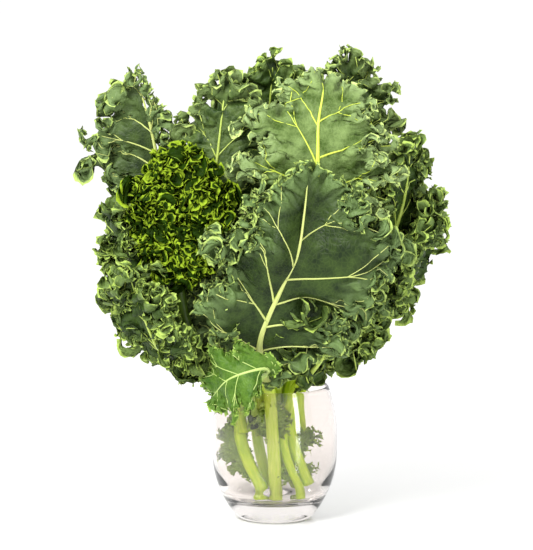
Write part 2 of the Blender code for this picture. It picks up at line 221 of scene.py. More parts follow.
# %% the leaves of the crown
LEAVES |= {
    "leaf_left_top": dict(
        path=[(-130, 18, 0.66), (-126, 60, 0.58), (-132, 100, 0.50), (-112, 125, 0.48), (-94, 150, 0.55),
              (-78, 200, 0.62), (-66, 250, 0.66), (-64, 283, 0.74), (-66, 308, 0.82), (-68, 338, 0.94)],
        base=226, wide=(54, 16), rib=4.4, hug=0.0, facing=(-0.3, -1.0, 0.0),
        look="blue", frill="edge"),
    "leaf_top_left": dict(
        path=[(-90, 74, 0.35), (-80, 100, 0.38), (-46, 150, 0.56), (-34, 200, 0.66),
              (-28, 260, 0.68), (-26, 340, 0.7)],
        base=180, wide=(40, 52), rib=4.2, look="grey", frill="edge"),
    "leaf_top_center": dict(
        path=[(130, 18, 0.6), (80, 60, 0.06), (30, 100, 0.36), (24, 150, 0.64), (18, 200, 0.8),
              (15, 270, 0.9), (17, 305, 0.84), (22, 328, 0.74), (26, 340, 0.58)],
        base=200, wide=(56, 58), rib=5.0, look="pale", frill="lobed",
        veins=[[(0.22, 0.30), (0.42, 0.50), (0.56, 0.82), (0.76, 0.90)],
               [(0.20, 0.26), (0.40, 0.46), (0.60, 0.66), (0.78, 0.86)]],
        folds=[(26, 0.45, 18, 16, -9), (-26, 0.55, 18, 20, 7), (30, 0.72, 16, 12, 6)]),
    "leaf_top_right": dict(
        path=[(118, 84, 0.5), (112, 100, 0.48), (96, 150, 0.5), (92, 210, 0.44), (97, 280, 0.42),
              (94, 352, 0.46)],
        base=240, wide=(30, 42), rib=4.0, hug=0.0, facing=(0.25, -1.0, 0.0), look="grey", frill="edge"),
    "leaf_top_back": dict(
        path=[(178, 88, 0.22), (180, 102, 0.2), (-120, 170, 0.14), (-20, 240, 0.2), (-4, 352, 0.34)],
        base=230, wide=(40, 40), rib=4.0, spacing=4.4, frill="edge"),
    "leaf_back_top": dict(
        path=[(165, 74, 0.54), (168, 100, 0.60), (168, 160, 0.5), (168, 230, 0.54), (170, 336, 0.6)],
        base=180, wide=(46, 56), rib=4.2, look="grey", spacing=4.4, frill="edge"),
}
print("all leaves:", len(LEAVES))

# %% [markdown]
# A midrib is the thick vein that carries a leaf, and it runs on from the stalk as one smooth curve. A
# Bezier curve would need handles besides its points. A Catmull-Rom curve needs none and goes through
# every knot, which suits a route given by the places it has to pass.

# %% the midrib
def spline(knots, steps=24):
    ends = np.vstack([2 * knots[0] - knots[1], knots, 2 * knots[-1] - knots[-2]])
    t = np.linspace(0, 1, steps, endpoint=False)[:, None]
    pieces = []
    for p0, p1, p2, p3 in zip(ends, ends[1:], ends[2:], ends[3:]):
        pieces.append(0.5 * (2 * p1 + (p2 - p0) * t + (2 * p0 - 5 * p1 + 4 * p2 - p3) * t ** 2
                             + (3 * p1 - p0 - 3 * p2 + p3) * t ** 3))
    return np.vstack(pieces + [knots[-1:]])


class Midrib:
    """A leaf's midrib by its length in mm, from the cut foot to the tip."""

    def __init__(self, leaf):
        azimuth, height, share = np.array(leaf["path"], float).T
        self.points = spline(shell_points(np.radians(azimuth), height, share))
        steps = np.linalg.norm(np.diff(self.points, axis=0), axis=1)
        self.lengths = np.append(0, np.cumsum(steps))
        self.total = self.lengths[-1]
        self.base = self.lengths[np.argmax(self.points[:, 2] >= leaf["base"])]

    def at(self, lengths):
        return np.stack([np.interp(lengths, self.lengths, column) for column in self.points.T], -1)

    def tangent(self, lengths, near=3.0):
        return unit(self.at(np.minimum(lengths + near, self.total))
                    - self.at(np.maximum(lengths - near, 0)))

    def length_at_height(self, height):
        return self.lengths[np.argmax(self.points[:, 2] >= height)]


midribs = {name: Midrib(leaf) for name, leaf in LEAVES.items()}
print("the front leaf's midrib and stalk:", round(midribs["leaf_front"].total), "mm")

# %% [markdown]
# A blade faces straight out of its shell. A leaf that has a facing of its own turns towards it over a
# stretch of its length, the way a leaf twists on its stalk.

# %% which way a blade faces
TURN_START, TURN_STRETCH = 0.25, 0.4  # shares of the midrib and stalk


def outward_at(leaf, midrib, lengths):
    """The direction the blade faces along its midrib."""
    centers, tangents = midrib.at(lengths), midrib.tangent(lengths)
    outward = unit(outward_slope(centers))
    if "facing" in leaf:
        turn = (lengths / midrib.total - leaf.get("turn_start", TURN_START)) / TURN_STRETCH
        turn = np.clip(turn, 0, 1)[:, None]
        outward = unit(outward * (1 - turn) + unit(np.array(leaf["facing"])) * turn)
    return unit(outward - tangents * np.sum(outward * tangents, -1, keepdims=True))


tip = outward_at(LEAVES["leaf_front"], midribs["leaf_front"], midribs["leaf_front"].lengths[-1:])[0]
print("the front leaf's tip faces", tip.round(2))

# %% [markdown]
# The blade is grown from a flat leaf, as a cutter would lay it on a table. This step knows where each
# spot of the flat leaf goes on its shell: it walks sideways from the midrib in small steps, and after
# each step comes back to the shell, so the blade wraps round the bunch without stretching much. The
# walk is slow, so it is done on a grid, and the places between are interpolated.

# %% from the flat leaf to its shell
def walk_sideways(leaf, midrib, lengths, distances, steps=10):
    centers, outward = midrib.at(lengths), outward_at(leaf, midrib, lengths)
    sideways = np.cross(midrib.tangent(lengths), outward)
    hug = leaf.get("hug", 1.0)
    share = share_at(centers)
    rows = []
    for distance in distances:
        here, direction = centers.copy(), sideways.copy()
        for _ in range(steps):
            here = here + direction * distance / steps
            slope = outward_slope(here)
            back = (share - share_at(here)) / np.sum(slope * slope, -1)
            here = here + hug * slope * back[:, None]
            normal = unit((1 - hug) * outward + hug * unit(slope))
            direction = unit(direction - normal * np.sum(direction * normal, -1, keepdims=True))
        rows.append(here)
    return np.stack(rows, 1)


GRID_ROWS, GRID_COLUMNS = 60, 45
LAST_CELL = 0.9999  # keeps a spot on the far edge inside the last cell


class Placement:
    """Looks up where a point of the flat leaf lies on its shell. x is across, y along the midrib."""

    def __init__(self, leaf, midrib, first, last, reach):
        self.y0, self.y1, self.reach = first, last, reach
        lengths = np.linspace(first, last, GRID_ROWS)
        distances = np.linspace(-reach, reach, GRID_COLUMNS)
        self.points = walk_sideways(leaf, midrib, lengths, distances)

    def __call__(self, x, y):
        a = np.clip((y - self.y0) / (self.y1 - self.y0), 0, LAST_CELL) * (GRID_ROWS - 1)
        b = np.clip((x / self.reach + 1) / 2, 0, LAST_CELL) * (GRID_COLUMNS - 1)
        i, j = a.astype(int), b.astype(int)
        a, b = (a - i)[:, None], (b - j)[:, None]
        p = self.points
        return ((p[i, j] * (1 - b) + p[i, j + 1] * b) * (1 - a)
                + (p[i + 1, j] * (1 - b) + p[i + 1, j + 1] * b) * a)


print("grid of a leaf's shell:", GRID_ROWS, "by", GRID_COLUMNS)

# %% [markdown]
# Half of the flat blade is a bow from the stalk to the tip. Points in it are named by two shares: how
# far along the margin they lie, and how far in from the margin to the midrib. A line of equal margin
# share runs the way a side vein does.

# %% half of the flat blade
OUTLINE_STEPS = 400
BOW_LEAN, BOW_FULLNESS = 1.15, 0.65  # widest a little past the middle, and blunt rather than pointed
LOBE_WAVES = ((1, 1.0), (2.7, 0.45), (6.5, 0.2))  # how many times the lobes' count, how deep
RIB_SHARE = 0.93  # where the last side vein leaves the midrib


class HalfBlade:
    def __init__(self, base, tip, width, start, lobes, rng):
        along = np.linspace(0, 1, OUTLINE_STEPS) ** 0.8
        x = width * np.clip(np.sin(np.pi * along ** BOW_LEAN), 0, 1) ** BOW_FULLNESS
        x = np.maximum(x, start * (1 - along) ** 0.3)
        depth, count = lobes
        fade = np.clip((1 - along) * 5, 0, 1) * np.clip(along * 8, 0, 1)
        for times, share in LOBE_WAVES:
            wave = np.sin((along * count * times + rng.uniform(0, 1)) * 2 * np.pi)
            x = x * (1 + depth * share * wave * fade)
        x[-1] = 0.0
        self.x, self.y = x, base + (tip - base) * along
        steps = np.hypot(np.diff(self.x), np.diff(self.y))
        self.lengths = np.append(0, np.cumsum(steps))
        self.length = self.lengths[-1]
        self.base, self.tip = base, tip

    def margin(self, share):
        return (np.interp(share * self.length, self.lengths, self.x),
                np.interp(share * self.length, self.lengths, self.y))

    def midrib(self, share):
        return 0.0 * share, self.base + (self.tip - self.base) * RIB_SHARE * share ** 1.1

    def vein_length(self, share):
        (ax, ay), (bx, by) = self.margin(share), self.midrib(share)
        return np.hypot(ax - bx, ay - by)


half = HalfBlade(base=0, tip=120, width=50, start=4, lobes=(0.2, 4.5), rng=np.random.default_rng(0))
print("the margin of half a leaf, 120 mm long and 50 mm wide, is", round(half.length), "mm")

# %% [markdown]
# The first net of triangles on the flat blade is coarse. Its rows follow the margin, with short steps
# there and long ones inside, because the frill needs fine triangles and the middle doesn't. Each time
# a row has half as many columns as the one outside it, three triangles fill two gaps.

# %% triangles between two rows
def strip(outer, inner):
    triangles = []
    if len(outer) == len(inner):
        for i in range(len(outer) - 1):
            a, b, c, d = outer[i], outer[i + 1], inner[i], inner[i + 1]
            triangles += [(a, b, c), (b, d, c)] if i % 2 else [(a, b, d), (a, d, c)]
    else:
        for i in range(len(inner) - 1):
            a, b, c = outer[2 * i:2 * i + 3]
            triangles += [(a, b, inner[i]), (b, inner[i + 1], inner[i]), (b, c, inner[i + 1])]
    return triangles


print("between rows of 5 and 3 points:", len(strip(range(5), range(5, 8))), "triangles")

# %% [markdown]
# The rows near the margin lie at set depths, the ones inside share out what is left, and the last two
# lie along the midrib. Where the blade narrows towards its tip, the depths are squeezed to fit.

# %% the first net
ROW_DEPTHS = (0, 6.5, 14, 26, 42)
ROW_HALVINGS = (0, 0, 1, 1, 2)
INNER_ROW, RIB_ROW = 24.0, 7.0
RIB_HALVINGS = 3
SEAM = 0.9999  # a share past this is on the midrib or at the tip, where the two halves meet


def rows_of(longest):
    """Each row as a rule and a value, with how often its columns have been halved."""
    depths = [d for d in ROW_DEPTHS if d == 0 or d < longest - RIB_ROW - 4]
    inner = max(0, round((longest - depths[-1] - RIB_ROW) / INNER_ROW) - 1)
    rows = [("margin", d) for d in depths]
    rows += [("between", (i + 1) / (inner + 1)) for i in range(inner)]
    rows += [("rib", RIB_ROW), ("rib", 0.0)]
    halvings = list(ROW_HALVINGS[:len(depths)]) + [RIB_HALVINGS] * (len(rows) - len(depths))
    for i in range(1, len(halvings)):
        halvings[i] = min(halvings[i], halvings[i - 1] + 1)
    return depths[-1], rows, halvings


def first_net(halves, spacing):
    """Vertices as side, margin share and inward share, and the triangles between them."""
    numbers, triangles = {}, []
    group = 2 ** RIB_HALVINGS
    columns = max(1, round(max(h.length for h in halves) / spacing / group)) * group
    shares = np.linspace(0, 1, columns + 1)
    for side, half in zip((-1, 1), halves):
        lengths = half.vein_length(shares)
        deepest, rows, halvings = rows_of(lengths.max())
        outer = None
        for (rule, value), halving in zip(rows, halvings):
            row = []
            for i in range(0, columns + 1, 2 ** halving):
                length = lengths[i]
                squeeze = min(1.0, length / (deepest + RIB_ROW + 6.0))
                if rule == "margin":
                    depth = value * squeeze
                elif rule == "between":
                    depth = deepest * squeeze
                    depth += max(0.0, length - (deepest + RIB_ROW) * squeeze) * value
                else:
                    depth = length - value * squeeze
                inward = min(1.0, depth / length)
                shared = inward > SEAM or i == columns
                key = (0 if shared else side, i, round(inward, 6))
                row.append(numbers.setdefault(key, len(numbers)))
            if outer is not None:
                new = strip(outer, row)
                triangles += new if side > 0 else [(a, c, b) for a, b, c in new]
            outer = row
    keys = np.array(list(numbers))
    return keys[:, 0], keys[:, 1] / columns, keys[:, 2], np.array(triangles)


print("the first net of that leaf:", len(first_net((half, half), spacing=3.3)[3]), "triangles")

# %% [markdown]
# Triangle nets are refined the way subdivision does it: a new point in the middle of each edge, and
# four triangles in place of one. The last refinement is only near the margin, where the smallest curls
# are, and the triangles next to it are cut in two so that the net stays whole.

# %% refining a net
def edges_of(triangles):
    """The net's edges, the edge numbers of each triangle, and its bends.

    A bend is the pair of corners that face each other across an edge.
    """
    edges = np.sort(np.concatenate([triangles[:, [0, 1]], triangles[:, [1, 2]], triangles[:, [2, 0]]]))
    corner = np.concatenate([triangles[:, 2], triangles[:, 0], triangles[:, 1]])
    key = edges[:, 0].astype(np.int64) * (triangles.max() + 1) + edges[:, 1]
    order = np.argsort(key, kind="stable")
    first = np.append(True, key[order][1:] != key[order][:-1])
    number = np.empty(len(key), np.int64)
    number[order] = np.cumsum(first) - 1
    again = np.flatnonzero(~first)
    bends = np.stack([corner[order][again], corner[order][again - 1]], 1)
    return edges[order][first], number.reshape(3, -1).T, bends


def split_net(triangles, chosen, count):
    """Splits the chosen triangles in four and keeps the net whole. Returns the split edges too."""
    edges, number, _ = edges_of(triangles)
    split = np.zeros(len(edges), bool)
    split[number[chosen].ravel()] = True
    two = split[number].sum(1) == 2
    while two.any():
        split[number[two].ravel()] = True
        two = split[number].sum(1) == 2
    middle = np.full(len(edges), -1)
    middle[split] = count + np.arange(split.sum())
    cuts = split[number].sum(1)
    a, b, c = triangles[cuts == 3].T
    ab, bc, ca = middle[number[cuts == 3]].T
    parts = [triangles[cuts == 0], np.stack([a, ab, ca], 1), np.stack([b, bc, ab], 1),
             np.stack([c, ca, bc], 1), np.stack([ab, bc, ca], 1)]
    for k in range(3):
        one = (cuts == 1) & split[number[:, k]]
        p, q, r = triangles[one][:, [k, (k + 1) % 3, (k + 2) % 3]].T
        m = middle[number[one][:, k]]
        parts += [np.stack([p, m, r], 1), np.stack([m, q, r], 1)]
    return np.concatenate(parts), edges[split]


one_triangle, whole = np.array([[0, 1, 2]]), np.array([True])
print("one triangle becomes", len(split_net(one_triangle, whole, 3)[0]))

# %% [markdown]
# Curly kale is curly because its margin grows faster than its middle. There is more edge than there is
# room for, so it buckles into waves, and each wave's edge buckles again into smaller ones. Curls could
# be sculpted, or pushed out with a noise, but then they run through each other. Growing the net does
# what the leaf does: each edge gets a longer rest length near the margin, more at each refinement.
#
# free is how deep from the margin the blade may leave its shell, and cap how far. lobes gives the
# margin's flat outline: how deep its lobes are, and how many. spacing is the first net's step.

# %% how much each kind of margin grows
FRILLS = {  # extra length at each refinement, its reach from the margin, and the length of its waves
    "front": dict(extra=(0.65, 0.50, 0.55, 0.50), reach=(22, 12, 6, 3.5), waves=(42, 15, 7, 3.6),
                  free=18, cap=18, lobes=(0.20, 4.5)),
    "edge": dict(extra=(0.75, 0.58, 0.58, 0.50), reach=(24, 12, 6, 3.5), waves=(36, 14, 7, 3.6),
                 free=18, cap=20),
    "lobed": dict(extra=(0.60, 0.40, 0.45, 0.45), reach=(24, 12, 6, 3.5), waves=(44, 17, 8, 4),
                  free=18, cap=17, lobes=(0.22, 5)),
    "full": dict(extra=(0.75, 0.62, 0.60, 0.50), reach=(36, 20, 9, 4), waves=(30, 12, 6.5, 3.6),
                 free=30, cap=22),
    "dense": dict(extra=(0.45, 0.60, 0.65, 0.50), reach=(30, 18, 9, 4), waves=(18, 9, 5.5, 3.2),
                  free=22, cap=14),
    "little": dict(extra=(0.35, 0.25, 0.20, 0.20), reach=(10, 6, 3, 2), waves=(16, 8, 5, 4),
                   free=8, cap=7, spacing=2.4, lobes=(0.2, 4)),
    "crest": dict(extra=(0.62, 0.46, 0.50, 0.50), reach=(16, 8, 4.5, 2.5), waves=(20, 9, 5, 3),
                  free=13, cap=12, spacing=3.4, lobes=(0.25, 3)),
    "fine": dict(extra=(0.70, 0.75, 0.65, 0.45), reach=(11, 6, 3.5, 2), waves=(6, 3.8, 2.6, 2),
                 free=12, cap=9, spacing=2.4, lobes=(0.25, 3)),
    "wing": dict(extra=(0.4, 0.35, 0.3, 0.25), reach=(8, 5, 3, 2), waves=(12, 7, 5, 4),
                 free=6, cap=6, spacing=2.6),
}
full_growth = np.prod([1 + extra for extra in FRILLS["full"]["extra"]])
print("a full frill's margin grows", round(float(full_growth), 1), "times as long")

# %% [markdown]
# Three small helpers serve all blades. soft_noise is a sum of a few sine waves. gather adds up vectors
# that belong to the same point. vertex_normals gives the direction that a net faces at each point.

# %% helpers for nets
TINY = 1e-12  # keeps a division by no length harmless


def soft_noise(x, rng):
    total = np.zeros_like(x)
    for k in (1, 2, 4):
        total += np.sin(x * k * rng.uniform(0.8, 1.2) + rng.uniform(0, 2 * np.pi)) / k ** 0.5
    return total / 2


def gather(index, vectors, count):
    return np.stack([np.bincount(index, vectors[:, k], count) for k in range(3)], 1).astype(np.float32)


def vertex_normals(points, triangles):
    a, b, c = points[triangles].transpose(1, 0, 2)
    face = np.cross(b - a, c - a)
    total = sum(gather(triangles[:, k], face, len(points)) for k in range(3))
    return total / (np.linalg.norm(total, axis=1, keepdims=True) + TINY)


level_triangle = np.array([[0, 0, 0], [1, 0, 0], [0, 1, 0]], float)
print("a level triangle faces", vertex_normals(level_triangle, one_triangle)[0].round(2))

# %% [markdown]
# A blade is a net that knows three things about each of its points: where it lies on the flat leaf,
# where it is at home on the shell, and where growing has moved it. The first follows from the point's
# shares, so a finer net only needs more shares, and everything else can be worked out again.

# %% a blade
SPACING = 3.3


class Blade:
    """The net of a leaf's blade, a leaflet or a crest."""

    def __init__(self, placement, halves, frill, seed, folds=(), swell=0.0):
        self.placement, self.halves, self.frill, self.seed = placement, halves, frill, seed
        self.folds, self.swell, self.level = folds, swell, 0
        spacing = frill.get("spacing", SPACING)
        self.side, self.share, self.inward, self.triangles = first_net(halves, spacing)

    def flat(self, side, share, inward):
        """Flat places of points given by side and shares, and the length of a side vein there."""
        x, y, length = np.empty_like(share), np.empty_like(share), np.empty_like(share)
        for sign, half in zip((-1, 1), self.halves):
            on = (side >= 0) if sign > 0 else (side < 0)
            (ax, ay), (bx, by) = half.margin(share[on]), half.midrib(share[on])
            x[on] = sign * (ax + (bx - ax) * inward[on])
            y[on] = ay + (by - ay) * inward[on]
            length[on] = half.vein_length(share[on])
        return x, y, length


print("a first net's step along the margin:", SPACING, "mm")

# %% [markdown]
# A blade isn't as smooth as its shell, even before its margin grows. Between the side veins it swells
# in soft waves, and some leaves have single folds, hills or hollows, which are given one by one.

# %% hills and hollows
SWELLS_ALONG = 3.4


def relief(blade):
    """How high each point is at home above its shell, in mm."""
    base, length = blade.halves[0].base, blade.halves[0].tip - blade.halves[0].base
    waves = np.sin(2 * np.pi * SWELLS_ALONG * blade.share + 2.0 * (blade.side > 0))
    height = blade.swell * (1 - blade.inward) * waves
    for x, y, wide, tall, fold in blade.folds:
        height = height + fold * np.exp(-((blade.x - x) / wide) ** 2
                                        - ((blade.y - base - y * length) / tall) ** 2)
    return height


print("swells along each side of a blade:", SWELLS_ALONG)

# %% [markdown]
# Every edge has a rest length, and so has every bend, which makes a leaf springy. It starts as the
# length on the flat leaf. Along the margin it is stretched by the growth of each level so far, less
# and less away from the margin. Across the margin it grows only a little.

# %% rest lengths
ACROSS_GROWTH, ACROSS_REACH = 0.25, 6.0
MARGIN_STEP = 0.01  # a share, to find the margin's direction


def growth_at(frill, depth, level, vigour):
    """The extra length at one refinement."""
    return frill["extra"][level] * vigour * np.exp(-(depth / frill["reach"][level]) ** 1.5)


def rest_lengths(blade, pairs):
    i, j = pairs.T
    dx, dy = blade.x[j] - blade.x[i], blade.y[j] - blade.y[i]
    depth = (blade.depth[i] + blade.depth[j]) / 2
    vigour = (blade.vigour[i] + blade.vigour[j]) / 2
    share = (blade.share[i] + blade.share[j]) / 2
    side = np.sign(blade.side[i] + blade.side[j])
    ax, ay, _ = blade.flat(side, np.clip(share - MARGIN_STEP, 0, 1), 0 * share)
    bx, by, _ = blade.flat(side, np.clip(share + MARGIN_STEP, 0, 1), 0 * share)
    size = np.hypot(bx - ax, by - ay) + 1e-9
    tx, ty = (bx - ax) / size, (by - ay) / size
    grow = np.ones_like(depth)
    for k in range(blade.level + 1):
        grow *= 1 + growth_at(blade.frill, depth, k, vigour)
    grow_across = 1 + ACROSS_GROWTH * np.exp(-depth / ACROSS_REACH) * (blade.level + 1) / 4
    along, across = (dx * tx + dy * ty) * grow, (dy * tx - dx * ty) * grow_across
    return np.hypot(along, across).astype(np.float32)


at_margin = growth_at(FRILLS["full"], depth=0.0, level=0, vigour=1.0)
print("a full frill's first growth at its margin is", round(float(at_margin) * 100), "%")

# %% [markdown]
# Measuring a blade works out all that follows from its shares. Vigour is a slow noise that lets some
# stretches of the margin grow more than others, because even ruffles would look machine made.

# %% measure a blade
UNEVEN_VIGOUR = 0.35


def measure(blade):
    blade.x, blade.y, length = blade.flat(blade.side, blade.share, blade.inward)
    blade.depth = (blade.inward * length).astype(np.float32)
    blade.home = blade.placement(blade.x, blade.y).astype(np.float32)
    normals = vertex_normals(blade.home.astype(float), blade.triangles)
    blade.home += (normals * relief(blade)[:, None]).astype(np.float32)
    blade.edges, _, blade.bends = edges_of(blade.triangles)
    noise = soft_noise(blade.share * 9 + (blade.side > 0) * 5.3, np.random.default_rng(blade.seed))
    blade.vigour = np.clip(1 + UNEVEN_VIGOUR * noise, 0.2, 2)
    blade.edge_rest = rest_lengths(blade, blade.edges)
    blade.bend_rest = rest_lengths(blade, blade.bends)


print("vigour is 1, give or take about", UNEVEN_VIGOUR)

# %% [markdown]
# A flat net that wants to be longer doesn't know which way to buckle. So each level starts with a
# ripple: waves of the right length, as tall as a sine wave has to be to use up the extra length.

# %% ripple and refine
RIPPLE_SHARE, PHASE_NOISE = 0.8, 1.3
RIPPLE_SEED = 50
EVERYWHERE = 1e9  # deeper than any blade


def ripple(blade):
    rng = np.random.default_rng(blade.seed + RIPPLE_SEED + blade.level)
    arc = blade.share * max(half.length for half in blade.halves)
    for extra in blade.frill["extra"][:blade.level]:
        arc = arc * (1 + extra)
    length = blade.frill["waves"][blade.level]
    noise = soft_noise(arc / length / 2 + 7.0 * (blade.side > 0), rng)
    phase = 2 * np.pi * arc / length + PHASE_NOISE * noise
    height = length / np.pi * np.sqrt(growth_at(blade.frill, blade.depth, blade.level, blade.vigour))
    normals = vertex_normals(blade.points.astype(float), blade.triangles)
    blade.points += (normals * (RIPPLE_SHARE * height * np.sin(phase))[:, None]).astype(np.float32)


def refine(blade, deepest=EVERYWHERE):
    """Splits the triangles nearer to the margin than deepest, and starts the next level."""
    near = blade.depth[blade.triangles].mean(1) < deepest
    blade.triangles, edges = split_net(blade.triangles, near, len(blade.share))
    i, j = edges.T
    on_seam = (blade.inward > SEAM) | (blade.share > SEAM)
    blade.side = np.append(blade.side, np.where(on_seam[i], blade.side[j], blade.side[i]))
    blade.share = np.append(blade.share, (blade.share[i] + blade.share[j]) / 2)
    blade.inward = np.append(blade.inward, (blade.inward[i] + blade.inward[j]) / 2)
    blade.points = np.concatenate([blade.points, (blade.points[i] + blade.points[j]) / 2])
    blade.level += 1
    measure(blade)
    ripple(blade)


def new_blade(placement, halves, frill, seed, **shape):
    blade = Blade(placement, halves, frill, seed, **shape)
    measure(blade)
    blade.points = blade.home.copy()
    ripple(blade)
    return blade


rib = midribs["leaf_small"]
half = HalfBlade(rib.base, rib.total, 25, 2, lobes=(0.2, 4), rng=np.random.default_rng(0))
placement = Placement(LEAVES["leaf_small"], rib, rib.base, rib.total, reach=40)
sample = new_blade(placement, (half, half), FRILLS["little"], seed=0)
print("a new small blade has", len(sample.triangles), "triangles and", len(sample.edges), "edges")

# %% [markdown]
# The tumbler is a turned form: an outline spun round the upright axis. The outer wall is widest at the
# belly, and the inside ends in a thick floor, which is what gives the heavy foot its lens look.

# %% the tumbler's outline, in mm
GLASS_HEIGHT, BELLY_HEIGHT = 101.0, 61.0
RIM_RADIUS, BELLY_RADIUS, FOOT_RADIUS = 40.6, 47.6, 27.5
RIM_WALL, BELLY_WALL = 1.8, 2.4
FLOOR_HEIGHT, FLOOR_RADIUS, CORNER_RADIUS = 15.0, 33.5, 8.0
UPPER_CURVE, LOWER_CURVE, THICKENING = 2.0, 2.6, 6


def glass_outer(height):
    up = np.clip((height - BELLY_HEIGHT) / (GLASS_HEIGHT - BELLY_HEIGHT), 0, 1)
    down = np.clip((BELLY_HEIGHT - height) / BELLY_HEIGHT, 0, 1)
    return (BELLY_RADIUS - (BELLY_RADIUS - RIM_RADIUS) * up ** UPPER_CURVE
            - (BELLY_RADIUS - FOOT_RADIUS) * down ** LOWER_CURVE)


def glass_inner(height):
    up = (height - FLOOR_HEIGHT) / (GLASS_HEIGHT - FLOOR_HEIGHT)
    wall = BELLY_WALL + (RIM_WALL - BELLY_WALL) * up
    start = FLOOR_HEIGHT + CORNER_RADIUS
    settle = np.clip(1 - (height - start) / (BELLY_HEIGHT - start), 0, 1) ** THICKENING
    return (glass_outer(height) - wall) * (1 - settle) + (FLOOR_RADIUS + CORNER_RADIUS / 2) * settle


print("rim inside radius:", round(float(glass_inner(GLASS_HEIGHT)), 2), "mm")

# %% [markdown]
# Frills must lie against each other and not through each other, so the points that come too close have
# to be found. Comparing each with each would take for ever. Sorted into cells as wide as the distance
# in question, each point needs to look only at its own cell and the ones round it.

# %% points that come close
def close_pairs(points, reach):
    """All pairs of points nearer than reach, found by sorting them into cells."""
    cells = np.floor(points / reach).astype(np.int64)
    cells -= cells.min(0) - 1
    size = cells.max(0) + 3
    key = (cells[:, 0] * size[1] + cells[:, 1]) * size[2] + cells[:, 2]
    order = np.argsort(key, kind="stable")
    sorted_key = key[order]
    found = []
    steps = (-1, 0, 1)
    for step in [(a, b, c) for a in steps for b in steps for c in steps if (a, b, c) >= (0, 0, 0)]:
        other = sorted_key + (step[0] * size[1] + step[1]) * size[2] + step[2]
        low, high = np.searchsorted(sorted_key, other, "left"), np.searchsorted(sorted_key, other, "right")
        if step == (0, 0, 0):
            low = np.arange(len(order)) + 1
        count = np.maximum(high - low, 0)
        i = np.repeat(np.arange(len(order)), count)
        j = np.arange(len(i)) + np.repeat(low - (np.cumsum(count) - count), count)
        a, b = order[i], order[j]
        near = np.sum((points[a] - points[b]) ** 2, 1) < reach * reach
        found.append(np.stack([a[near], b[near]], 1))
    return np.concatenate(found)


row = np.arange(5)[:, None] * [1.0, 0, 0]
print("close pairs in a row of five points:", len(close_pairs(row, reach=1.5)))

# %% [markdown]
# Leaves hang over the rim and stand inside it, so the growing frills have to stay off the tumbler. Its
# wall is thin and turned, which makes this easy: only a point's radius and height matter.

# %% keep off the glass
def keep_off_glass(points, gap=1.2):
    """Moves points off the tumbler's wall, to the side they are on."""
    radius = np.hypot(points[:, 0], points[:, 1]) + 1e-6
    outer, inner = glass_outer(points[:, 2]), glass_inner(points[:, 2])
    middle = (outer + inner) / 2
    half = (outer - inner) / 2 + gap
    near = (np.abs(radius - middle) < half) & (points[:, 2] < GLASS_HEIGHT + gap)
    target = np.where(radius > middle, middle + half, middle - half)
    scale = np.where(near, target / radius, 1.0)[:, None]
    points[:, :2] *= scale


spot = np.array([[glass_inner(80.0), 0.0, 80.0]])
keep_off_glass(spot)
print("a point on the inner wall moves in to", spot[0, 0].round(2), "mm")

# %% [markdown]
# Growth is settled by moving points, not by solving forces. Two small moves do it: every edge and bend
# pulls or pushes its two ends towards its rest length, and points that come too close push each other
# apart. A point has many edges, so it moves by a share of their mean error. From its contacts it moves
# a little too far rather than too little, so that crowded frills don't creep into each other.

# %% the two moves
EDGE_PULL, CONTACT_PUSH = 0.625, 1.5


def pull_pairs(points, i, j, rest, weight, total):
    """Moves the ends i and j of all pairs towards their rest lengths."""
    gap = points[j] - points[i]
    length = np.sqrt(np.sum(gap * gap, 1)) + 1e-9
    pull = gap * (weight * (length - rest) / length)[:, None]
    points += EDGE_PULL * (gather(i, pull, len(points)) - gather(j, pull, len(points))) / total


def push_apart(points, contacts, touch):
    """Moves the points of all contacts that are nearer than touch away from each other."""
    count = len(points)
    a, b = contacts.T
    gap = points[a] - points[b]
    length = np.sqrt(np.sum(gap * gap, 1)) + 1e-9
    push = np.clip(touch - length, 0, None) / length * 0.5
    number = np.bincount(a, push > 0, count) + np.bincount(b, push > 0, count)
    push = gap * push[:, None]
    away = (gather(a, push, count) - gather(b, push, count)) * CONTACT_PUSH
    points += (away / np.maximum(number, 1)[:, None]).astype(np.float32)


pair = np.array([[0, 0, 0], [1, 0, 0]], np.float32)
push_apart(pair, np.array([[0, 1]]), touch=2.0)
print("two points 1 mm apart that want 2 mm end up", float(pair[1, 0] - pair[0, 0]), "mm apart")

# %% [markdown]
# All leaves settle together, each in the room that the others leave. Their nets are joined into one
# long list of points and one of pairs. The middle of each blade is held near its shell, and nothing
# strays further than its frill's cap. Damped speed carries a point on, which settles it much sooner.

# %% settle the grown nets
LOOK_AHEAD = 1.3  # contacts are looked up a little wider than they act
OWN_ROOM = 2.5  # spots this near on the same flat leaf never count as touching
HOLD, HOLD_DEPTH, WEAKEST_HOLD = 0.15, 25.0, 0.002
NOISE_DEPTH = 12


def joined(blades, name):
    return np.concatenate([getattr(blade, name) for blade in blades])


def find_contacts(points, leaf, flat, touch):
    a, b = close_pairs(points, touch * LOOK_AHEAD).T
    apart = np.sum((flat[a] - flat[b]) ** 2, 1)
    same = (leaf[a] == leaf[b]) & (apart < (touch * OWN_ROOM) ** 2)
    return np.stack([a[~same], b[~same]], 1)


